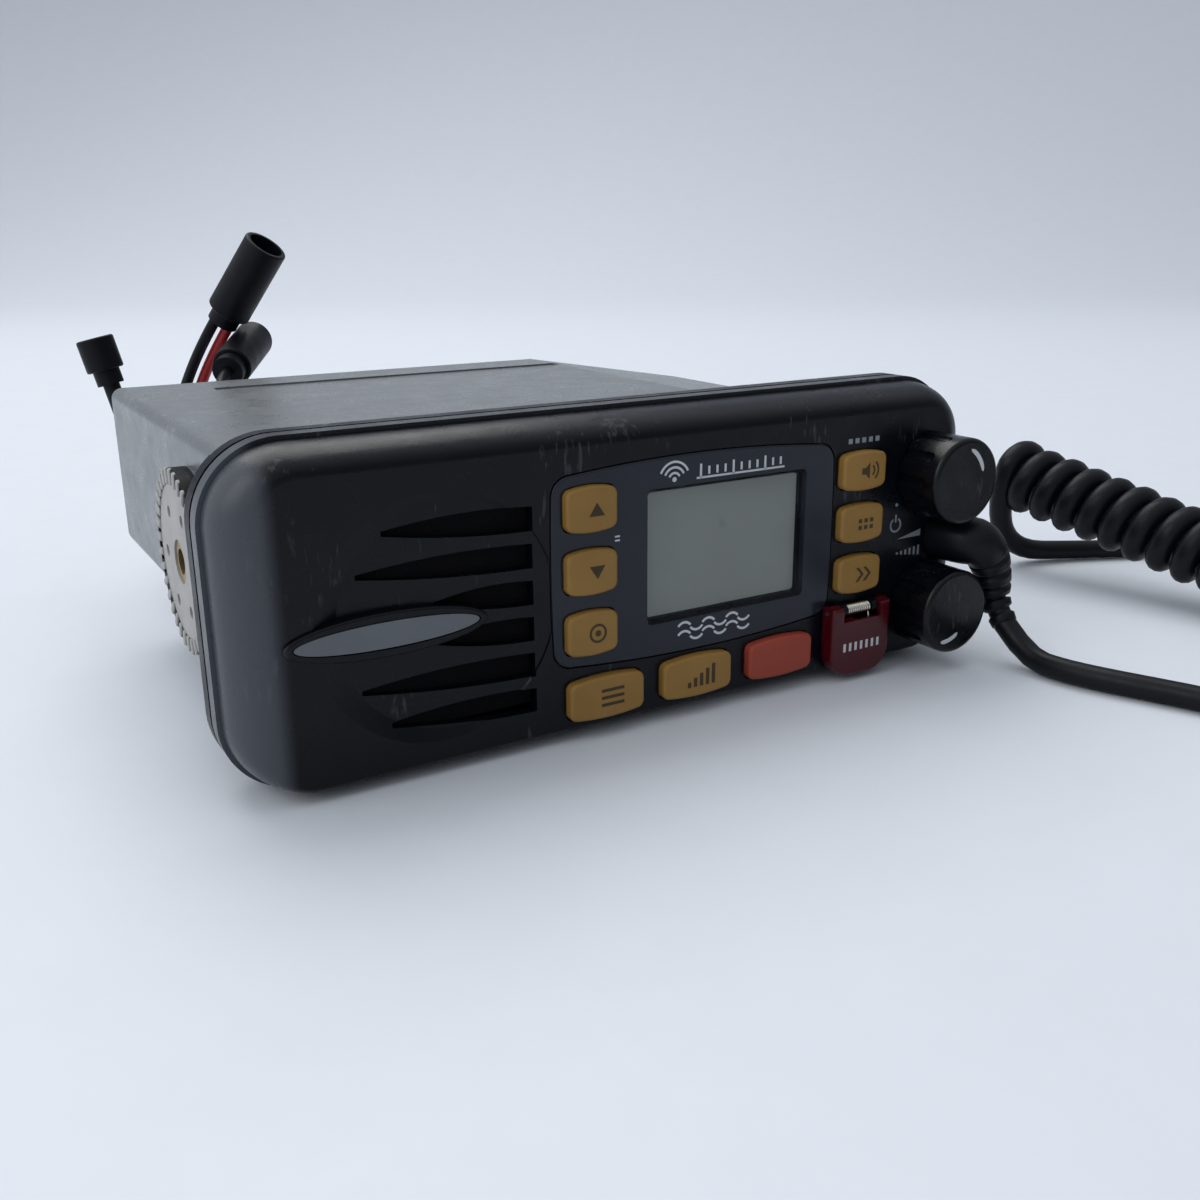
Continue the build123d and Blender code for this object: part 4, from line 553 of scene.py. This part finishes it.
def dull(material, mask, shine=0.06):
    """Takes the shine down where the mask is one, so that black stays black at a flat angle."""
    tree = material.node_tree
    level = shader_of(material).inputs["Specular IOR Level"]
    fall = tree.nodes.new("ShaderNodeMapRange")
    fall.inputs["To Min"].default_value = level.default_value
    fall.inputs["To Max"].default_value = shine
    tree.links.new(mask, fall.inputs["Value"])
    tree.links.new(fall.outputs["Result"], level)


def paint_over(material, colour, limits):
    """Puts a second colour wherever one of the limits holds: an axis, a test, an edge in metres."""
    tree = material.node_tree
    coordinates = tree.nodes.new("ShaderNodeTexCoord")
    parts = tree.nodes.new("ShaderNodeSeparateXYZ")
    tree.links.new(coordinates.outputs["Object"], parts.inputs["Vector"])
    covered = None
    for axis, test, edge in limits:
        size = tree.nodes.new("ShaderNodeMath")
        size.operation = "ABSOLUTE" if axis == "X" else "MULTIPLY"
        size.inputs[1].default_value = 1.0
        tree.links.new(parts.outputs[axis], size.inputs[0])
        inside = tree.nodes.new("ShaderNodeMath")
        inside.operation = test
        inside.inputs[1].default_value = edge
        tree.links.new(size.outputs["Value"], inside.inputs[0])
        if covered:
            either = tree.nodes.new("ShaderNodeMath")
            either.operation = "MAXIMUM"
            tree.links.new(covered, either.inputs[0])
            tree.links.new(inside.outputs["Value"], either.inputs[1])
            covered = either.outputs["Value"]
        else:
            covered = inside.outputs["Value"]
    recolour(material, covered, colour)
    dull(material, covered)


flange_edge = -0.0514
boss_start = 0.0806
flange_black = (0.006, 0.007, 0.01)
painted_limits = (("Y", "LESS_THAN", flange_edge), ("X", "GREATER_THAN", boss_start))
paint_over(case_paint, flange_black, painted_limits)


def paint_rim_reflection(material, grey, limits):
    """Painted reflection on a rolled rim: a grey beyond each limit, from an edge to a full place, in place of
    the room's sheen.
    """
    tree = material.node_tree
    coordinates = tree.nodes.new("ShaderNodeTexCoord")
    parts = tree.nodes.new("ShaderNodeSeparateXYZ")
    tree.links.new(coordinates.outputs["Object"], parts.inputs["Vector"])
    for axis, edge, full, share in limits:
        reach = tree.nodes.new("ShaderNodeMapRange")
        reach.interpolation_type = "SMOOTHSTEP"
        reach.inputs["From Min"].default_value = edge
        reach.inputs["From Max"].default_value = full
        reach.inputs["To Max"].default_value = share
        tree.links.new(parts.outputs[axis], reach.inputs["Value"])
        recolour(material, reach.outputs["Result"], grey)


# Painted reflection: a grey band on the left rolled rim, and a faint one along the top rim, stands in for the
# bright room reflected there.
painted_reflection_grey = (0.06, 0.068, 0.08)
paint_rim_reflection(bezel_plastic, painted_reflection_grey, (("X", -0.0745, -0.0785, 1.0), ("Z", 0.0595, 0.0625, 0.12)))


def scuff(material, colour, size, amount):
    """Fine pale specks and short scratches where hands and tools have touched the surface."""
    tree = material.node_tree
    coordinates = tree.nodes.new("ShaderNodeTexCoord")
    stretch = tree.nodes.new("ShaderNodeMapping")
    stretch.inputs["Rotation"].default_value = (0.2, 0.5, 0.9)
    stretch.inputs["Scale"].default_value = (1.0, 1.0, 0.22)
    tree.links.new(coordinates.outputs["Object"], stretch.inputs["Vector"])
    specks = tree.nodes.new("ShaderNodeTexNoise")
    specks.inputs["Scale"].default_value = 1.0 / size
    specks.inputs["Detail"].default_value = 6.0
    tree.links.new(stretch.outputs["Vector"], specks.inputs["Vector"])
    patches = tree.nodes.new("ShaderNodeTexNoise")
    patches.inputs["Scale"].default_value = 60.0
    tree.links.new(coordinates.outputs["Object"], patches.inputs["Vector"])
    both = tree.nodes.new("ShaderNodeMath")
    both.operation = "MULTIPLY"
    tree.links.new(specks.outputs["Fac"], both.inputs[0])
    tree.links.new(patches.outputs["Fac"], both.inputs[1])
    marks = tree.nodes.new("ShaderNodeMapRange")
    marks.inputs["From Min"].default_value = 0.37
    marks.inputs["From Max"].default_value = 0.44
    marks.inputs["To Max"].default_value = amount
    tree.links.new(both.outputs["Value"], marks.inputs["Value"])
    recolour(material, marks.outputs["Result"], colour)


scuff(bezel_plastic, (0.09, 0.1, 0.115), 0.0011, 0.3)
scuff(case_paint, (0.26, 0.27, 0.28), 0.0016, 0.5)
scuff(knob_rubber, (0.05, 0.055, 0.065), 0.0009, 0.5)
scuff(badge_plastic, (0.12, 0.13, 0.14), 0.0008, 0.5)
print("case shader nodes:", len(case_paint.node_tree.nodes))

# %% [markdown]
# ## Printed marks
# The keys and the panel carry plain pictures instead of words. Each mark starts as a flat outline in
# the X and Z of the front, in millimetres, and becomes a closed slab a few hundredths of a
# millimetre thick. A mark on a key rides with that key, so it goes in when the key is pressed.

# %% Outlines of simple marks
def box_mark(x, z, width, height):
    """A plain bar."""
    half, rise = width / 2, height / 2
    return [(x - half, z - rise), (x + half, z - rise), (x + half, z + rise), (x - half, z + rise)]


def arc_mark(x, z, radius, width, start, end, steps=12):
    """Part of a ring, from one angle to another in degrees."""
    angles = [math.radians(start + (end - start) * step / steps) for step in range(steps + 1)]
    wide = radius + width / 2
    narrow = radius - width / 2
    outer = [(x + wide * math.cos(turn), z + wide * math.sin(turn)) for turn in angles]
    inner = [(x + narrow * math.cos(turn), z + narrow * math.sin(turn)) for turn in angles]
    return outer + inner[::-1]


def round_mark(x, z, radius, steps=20):
    """A filled dot."""
    return [
        (x + radius * math.cos(math.tau * step / steps), z + radius * math.sin(math.tau * step / steps))
        for step in range(steps)
    ]


def ring_mark(x, z, radius, width):
    """A whole ring, as two halves."""
    return [arc_mark(x, z, radius, width, 0, 180), arc_mark(x, z, radius, width, 180, 360)]


def stamp(name, body, front, outlines, ink, depth=0.04):
    """Closed slabs on a face of the front, tied to the body they are printed on."""
    mesh = bpy.data.meshes.new(name)
    sheet = bmesh.new()
    for outline in outlines:
        near = [sheet.verts.new(mm(x, front - depth, z)) for x, z in outline]
        far = [sheet.verts.new(mm(x, front + depth / 4, z)) for x, z in outline]
        sheet.faces.new(near)
        sheet.faces.new(far[::-1])
        for index in range(len(outline)):
            following = (index + 1) % len(outline)
            sheet.faces.new((near[following], near[index], far[index], far[following]))
    closed_mesh(mesh, sheet)
    piece = place(name, mesh)
    mesh.materials.append(ink)
    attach(piece, body)
    return piece


# %% Stamp the keys, the panel and the bezel
key_face = -69.9
panel_face = -68.3
bezel_face = -68.0
key_marks = {
    "key_up": [[(-17.0, 45.6), (-13.6, 45.6), (-15.3, 48.2)]],
    "key_down": [[(-15.3, 33.3), (-13.6, 35.9), (-17.0, 35.9)]],
    "key_select": ring_mark(-15.3, 22.4, 1.7, 0.5) + [round_mark(-15.3, 22.4, 0.65)],
    "key_menu": [box_mark(-12.0, 8.7 + 1.5 * row, 5.2, 0.65) for row in (-1, 0, 1)],
    "key_power_level": [
        box_mark(6.4 + 1.5 * step, 7.1 + 0.4 * step, 0.85, 1.2 + 0.8 * step) for step in range(5)
    ],
    "key_address": [
        [(50.6, 46.1), (51.6, 46.1), (52.8, 45.0), (52.8, 48.6), (51.6, 47.5), (50.6, 47.5)],
        arc_mark(52.9, 46.8, 1.2, 0.45, -55, 55),
        arc_mark(52.9, 46.8, 2.3, 0.45, -50, 50),
    ],
    "key_memory": [
        box_mark(50.9 + 1.6 * column, 34.4 + 1.5 * row, 0.95, 0.9)
        for row in (0, 1)
        for column in (0, 1, 2)
    ],
    "key_scan": [
        [(x, 22.2), (x + 1.5, 23.8), (x, 25.4), (x + 0.8, 25.4), (x + 2.3, 23.8), (x + 0.8, 22.2)]
        for x in (50.4, 52.5)
    ],
}
for key_name, outlines in key_marks.items():
    stamp(key_name + "_mark", key_name, key_face, outlines, key_ink)

waves = [arc_mark(3.2, 50.2, 1.3 + 1.1 * ring, 0.45, 25, 155) for ring in range(3)]
ruler = [box_mark(9.5 + 2.0 * step, 51.25, 0.5, 1.6 if step % 4 else 2.8) for step in range(11)]
ripples = []
for row in (0, 1):
    for index, x in enumerate((6.0, 9.0, 12.0, 15.0, 18.0, 21.0)):
        height = 17.5 + 1.9 * row
        if index % 2:
            ripples.append(arc_mark(x, height + 0.9, 1.9, 0.5, 218, 322, 8))
        else:
            ripples.append(arc_mark(x, height - 0.9, 1.9, 0.5, 38, 142, 8))
panel_marks = waves + [round_mark(3.2, 50.2, 0.5)] + ruler + [box_mark(19.5, 49.9, 22.0, 0.4)] + ripples
panel_marks.append(box_mark(-9.9, 40.6, 1.1, 0.35))
panel_marks.append(box_mark(-9.9, 39.8, 1.1, 0.35))
stamp("panel_marks", "radio", panel_face, panel_marks, white_ink)
bezel_marks = [box_mark(52.4 + 1.9 * step, 53.2, 1.1, 1.1) for step in (-2, -1, 0, 1, 2)]
bezel_marks += [arc_mark(63.2, 33.0, 1.5, 0.45, 120, 420, 16), box_mark(63.2, 34.5, 0.45, 1.8)]
bezel_marks += [round_mark(63.2, 37.6, 0.4)]
bezel_marks += [[(64.0, 29.6), (71.0, 29.6), (71.0, 31.2)]]
bezel_marks += [box_mark(64.2 + 1.3 * step, 26.3, 0.6, 0.5 + 0.35 * step) for step in range(6)]
stamp("bezel_marks", "radio", bezel_face, bezel_marks, grey_ink)
cover_face = -72.2
cover_marks = [box_mark(51.0 + 1.6 * step, 8.3, 0.7, 1.9) for step in (-3, -2, -1, 0, 1, 2, 3)]
stamp("cover_marks", "distress_cover", cover_face, cover_marks, white_ink)


def pointer(x, z, first, last, bow):
    """A bowed white stroke with round ends on the face of a knob."""
    stroke = []
    along = Vector(last) - Vector(first)
    across = Vector((-along.y, along.x)).normalized()
    for side in (1, -1):
        for step in range(13):
            share = step / 12 if side == 1 else 1 - step / 12
            middle = Vector(first) + along * share + across * bow * 4 * share * (1 - share)
            thick = 0.5 * math.sqrt(max(0.0, 1 - (2 * share - 1) ** 6))
            spot = middle + across * side * thick
            if 0 < step < 12 or side == 1:
                stroke.append((x + spot.x, z + spot.y))
    return stroke


knob_face = -79.8
volume_stroke = pointer(72, 43.8, (0.4, 7.2), (4.6, 1.9), 0.7)
squelch_stroke = pointer(72, 14.2, (-4.4, -6.4), (0.8, -4.9), -0.5)
stamp("volume_pointer", "volume_knob", knob_face, [volume_stroke], white_ink)
stamp("squelch_pointer", "squelch_knob", knob_face, [squelch_stroke], white_ink)
print("marks stamped:", len(key_marks) + 5)

# %% [markdown]
# ## Rings of teeth for the gimbal
# A bracket grips the radio by two toothed discs. One tooth is modelled once, and a small Geometry
# Nodes tree turns it round a circle. The tree ends in Realize Instances and Set Material, so the
# ring becomes real geometry with its own finish.

# %% Turn one tooth into a ring
def tooth_mesh():
    """A tooth that lies along the radius of its ring, with round ends and a bevelled top."""
    corners = 12
    straight = 0.00105
    half_width = 0.00078
    end_flatness = 0.7
    mesh = bpy.data.meshes.new("tooth")
    sheet = bmesh.new()
    rings = []
    for depth, shrink in ((0.0, 0.0), (0.00035, 0.0), (0.00055, 0.00018)):
        ring = []
        for step in range(corners):
            turn = math.tau * step / corners
            end = straight if math.cos(turn) > 0 else -straight
            reach = half_width - shrink
            across = reach * math.sin(turn)
            ring.append(sheet.verts.new((end + reach * math.cos(turn) * end_flatness, across, depth)))
        rings.append(ring)
    for low, high in zip(rings, rings[1:]):
        for index in range(corners):
            following = (index + 1) % corners
            sheet.faces.new((low[index], low[following], high[following], high[index]))
    sheet.faces.new(rings[0][::-1])
    sheet.faces.new(rings[-1])
    sheet.to_mesh(mesh)
    sheet.free()
    return mesh


def ring_tree():
    """Copies one object round a circle, each copy turned to face outwards."""
    tree = bpy.data.node_groups.new("ring_of_teeth", "GeometryNodeTree")
    tree.interface.new_socket("Geometry", in_out="INPUT", socket_type="NodeSocketGeometry")
    count = tree.interface.new_socket("Count", in_out="INPUT", socket_type="NodeSocketInt")
    radius = tree.interface.new_socket("Radius", in_out="INPUT", socket_type="NodeSocketFloat")
    tooth = tree.interface.new_socket("Tooth", in_out="INPUT", socket_type="NodeSocketObject")
    finish_socket = tree.interface.new_socket("Finish", in_out="INPUT", socket_type="NodeSocketMaterial")
    tree.interface.new_socket("Geometry", in_out="OUTPUT", socket_type="NodeSocketGeometry")
    given = tree.nodes.new("NodeGroupInput")
    ring = tree.nodes.new("GeometryNodeMeshCircle")
    tree.links.new(given.outputs["Count"], ring.inputs["Vertices"])
    tree.links.new(given.outputs["Radius"], ring.inputs["Radius"])
    one = tree.nodes.new("GeometryNodeObjectInfo")
    tree.links.new(given.outputs["Tooth"], one.inputs["Object"])
    spot = tree.nodes.new("GeometryNodeInputPosition")
    outward = tree.nodes.new("FunctionNodeAlignEulerToVector")
    outward.axis = "X"
    outward.pivot_axis = "Z"
    tree.links.new(spot.outputs["Position"], outward.inputs["Vector"])
    copies = tree.nodes.new("GeometryNodeInstanceOnPoints")
    tree.links.new(ring.outputs["Mesh"], copies.inputs["Points"])
    tree.links.new(one.outputs["Geometry"], copies.inputs["Instance"])
    tree.links.new(outward.outputs["Rotation"], copies.inputs["Rotation"])
    real = tree.nodes.new("GeometryNodeRealizeInstances")
    painted = tree.nodes.new("GeometryNodeSetMaterial")
    result = tree.nodes.new("NodeGroupOutput")
    tree.links.new(copies.outputs["Instances"], real.inputs["Geometry"])
    tree.links.new(real.outputs["Geometry"], painted.inputs["Geometry"])
    tree.links.new(given.outputs["Finish"], painted.inputs["Material"])
    tree.links.new(painted.outputs["Geometry"], result.inputs["Geometry"])
    return tree, {"count": count, "radius": radius, "tooth": tooth, "finish": finish_socket}


tooth_tree, tooth_sockets = ring_tree()
one_tooth = place("one_tooth", tooth_mesh())


tooth_count = 34
tooth_ring_radius = 0.01615
disc_face_x = 83.6
gimbal_y = -32.4
gimbal_z = 38.2


def ring_of_teeth(name, side):
    """One ring of teeth on the disc at this side of the case."""
    carrier = place("carrier", bpy.data.meshes.new("carrier"))
    wind = carrier.modifiers.new("ring", "NODES")
    wind.node_group = tooth_tree
    wind[tooth_sockets["count"].identifier] = tooth_count
    wind[tooth_sockets["radius"].identifier] = tooth_ring_radius
    wind[tooth_sockets["tooth"].identifier] = one_tooth
    wind[tooth_sockets["finish"].identifier] = tooth_ivory
    bpy.context.view_layer.update()
    evaluated = carrier.evaluated_get(bpy.context.evaluated_depsgraph_get())
    mesh = bpy.data.meshes.new_from_object(evaluated)
    bpy.data.objects.remove(carrier)
    outward = Matrix.Rotation(side * math.pi / 2, 4, "Y")
    mesh.transform(Matrix.Translation(mm(side * disc_face_x, gimbal_y, gimbal_z)) @ outward)
    ring = place(name, mesh)
    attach(ring, "radio")
    print(name, len(mesh.polygons), "faces")
    return ring


ring_of_teeth("gimbal_teeth_left", -1)
ring_of_teeth("gimbal_teeth_right", 1)
bpy.data.objects.remove(one_tooth)

# %% [markdown]
# ### The black rim under the teeth
# The disc itself is one piece: its middle is ivory, and its rim, where the teeth stand, is black.
# The distance from the disc's own axis decides which colour a point gets.

# %% Blacken the rim of the discs
def blacken_rim(material, limit):
    """A dark colour beyond a radius round the gimbal axis."""
    tree = material.node_tree
    coordinates = tree.nodes.new("ShaderNodeTexCoord")
    shifted = tree.nodes.new("ShaderNodeVectorMath")
    shifted.operation = "SUBTRACT"
    shifted.inputs[1].default_value = mm(0, gimbal_y, gimbal_z)
    tree.links.new(coordinates.outputs["Object"], shifted.inputs[0])
    flat = tree.nodes.new("ShaderNodeVectorMath")
    flat.operation = "MULTIPLY"
    flat.inputs[1].default_value = (0.0, 1.0, 1.0)
    tree.links.new(shifted.outputs["Vector"], flat.inputs[0])
    reach = tree.nodes.new("ShaderNodeVectorMath")
    reach.operation = "LENGTH"
    tree.links.new(flat.outputs["Vector"], reach.inputs[0])
    beyond = tree.nodes.new("ShaderNodeMath")
    beyond.operation = "GREATER_THAN"
    beyond.inputs[1].default_value = limit
    tree.links.new(reach.outputs["Value"], beyond.inputs[0])
    recolour(material, beyond.outputs["Value"], (0.008, 0.01, 0.013))
    dull(material, beyond.outputs["Value"])


ivory_radius = 0.0147
blacken_rim(disc_ivory, ivory_radius)
print("disc shader nodes:", len(disc_ivory.node_tree.nodes))

# %% [markdown]
# ## The spring of the distress cover
# The CAD model holds it as a sleeve. Here the wire is wound round the hinge pin, and its last turn
# runs out into the leg that pushes the cover shut.

# %% Wind the wire
wire_points = []
spring_wire_radius = 0.00025
spring_turns = 11
spring_steps = 12 * spring_turns
spring_start_x = 47.75
spring_run = 6.5
spring_radius = 1.08
hinge_y = -70
hinge_z = 16.3
for step in range(spring_steps + 1):
    turned = math.tau * step / 12
    along = spring_start_x + spring_run * step / spring_steps
    y = hinge_y + spring_radius * math.cos(turned)
    z = hinge_z + spring_radius * math.sin(turned)
    wire_points.append(mm(along, y, z))
wire_points += [mm(54.35, -70.3, 15.1), mm(54.2, -70.7, 13.2), mm(54.2, -70.75, 12.3)]
spring_line = lay_cord("spring_wire", wire_points, spring_wire_radius, 2)
spring_line.data.bevel_resolution = 2
bpy.context.view_layer.update()
spring_shape = spring_line.evaluated_get(bpy.context.evaluated_depsgraph_get())
spring_mesh = bpy.data.meshes.new_from_object(spring_shape)
bpy.data.objects.remove(spring_line)
cover_spring = place("cover_spring", spring_mesh)
spring_mesh.materials.clear()
spring_mesh.materials.append(spring_steel)
spring_mesh.shade_smooth()
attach(cover_spring, "distress_cover")
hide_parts("distress_spring")
print("spring faces", len(spring_mesh.polygons))

# %% Tie the cords to the model
cord_boot.data.materials.append(cord_jacket)
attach(cord_boot, "radio")
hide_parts("mic_boot")
mic_cord.data.materials.append(cord_jacket)
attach(mic_cord, "radio")
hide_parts("mic_lead", "mic_coil", "mic_tail")
lead_finishes = {
    "red_lead": (red_jacket, "red_wire", "red_wire", "power_socket"),
    "black_lead": (cord_jacket, "cord_rubber", "black_wire", "power_socket"),
    "accessory_cable": (cord_jacket, "cord_rubber", "accessory_lead", "accessory_socket"),
    "antenna_cable": (cord_jacket, "cord_rubber", "antenna_lead", "antenna_socket"),
}
for lead_name, (jacket, slot_name, node_name, socket_name) in lead_finishes.items():
    cable, cable_length, radius = rear_leads[lead_name]
    cable.data.materials.append(jacket)
    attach(cable, "radio")
    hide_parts(node_name)

# %% [markdown]
# ## The table, the backdrop and the light
# The radio stands on a pale table that runs up into a backdrop in one smooth curve. One broad lamp
# hangs behind and above it, so its shadow falls softly towards the camera. A weaker lamp stands at
# the left, and the pale room, brightest behind and above, fills in the rest.

# %% Bend the table into the backdrop
def sweep_stage():
    """A table top that curves up behind the radio, square to the camera."""
    table_end = 1.2
    bend = 1.4
    steps = 24
    profile = [(-2.5, 0.0), (table_end, 0.0)]
    for step in range(1, steps + 1):
        turned = step / steps * math.pi / 2
        profile.append((table_end + bend * math.sin(turned), bend * (1 - math.cos(turned))))
    profile.append((table_end + bend, 3.4))
    mesh = bpy.data.meshes.new("table")
    sheet = bmesh.new()
    rows = []
    for side in (-4.5, 4.5):
        rows.append([sheet.verts.new((side, along, up)) for along, up in profile])
    for left, right in zip(zip(rows[0], rows[0][1:]), zip(rows[1], rows[1][1:])):
        sheet.faces.new((left[0], right[0], right[1], left[1]))
    sheet.to_mesh(mesh)
    sheet.free()
    mesh.transform(Matrix.Rotation(camera.rotation_euler.z, 4, "Z"))
    mesh.shade_smooth()
    return place("table", mesh)


table = sweep_stage()
table_top = finish("table_top", (0.63, 0.67, 0.735), 0.55, 0.004, 0.00001, 0.01, 0.05)
table.data.materials.append(table_top)

# %% Hang the lamp and fill the room
room = bpy.data.worlds.new("room")
room.use_nodes = True
air = room.node_tree
background = air.nodes["Background"]
background.inputs["Color"].default_value = (0.93, 0.96, 1.0, 1.0)
looking = air.nodes.new("ShaderNodeTexCoord")
towards = air.nodes.new("ShaderNodeVectorMath")
towards.operation = "DOT_PRODUCT"
towards.inputs[1].default_value = (-0.5, 0.55, 0.67)
air.links.new(looking.outputs["Generated"], towards.inputs[0])
bright = air.nodes.new("ShaderNodeMapRange")
bright.interpolation_type = "SMOOTHSTEP"
bright.inputs["From Min"].default_value = -0.75
bright.inputs["From Max"].default_value = 0.85
bright.inputs["To Min"].default_value = 0.2
bright.inputs["To Max"].default_value = 0.95
air.links.new(towards.outputs["Value"], bright.inputs["Value"])
air.links.new(bright.outputs["Result"], background.inputs["Strength"])
bpy.context.scene.world = room


def hang_lamp(name, where, target, size, power, colour):
    """A square soft lamp that faces a target."""
    light = bpy.data.lights.new(name, "AREA")
    light.shape = "SQUARE"
    light.size = size
    light.energy = power
    light.color = colour
    lamp = place(name, light)
    lamp.location = where
    lamp.rotation_euler = (Vector(target) - Vector(where)).to_track_quat("-Z", "Y").to_euler()
    return lamp


rear_lamp = hang_lamp("rear_lamp", (0.1, 0.9, 1.5), (0, 0, 0), 1.4, 17.0, (1.0, 0.985, 0.95))
rear_lamp.data.specular_factor = 0.25
hang_lamp("left_lamp", (-1.2, -0.1, 0.9), (0, 0, 0), 0.9, 5.0, (1.0, 0.985, 0.96))
bpy.context.scene.view_settings.view_transform = "Standard"
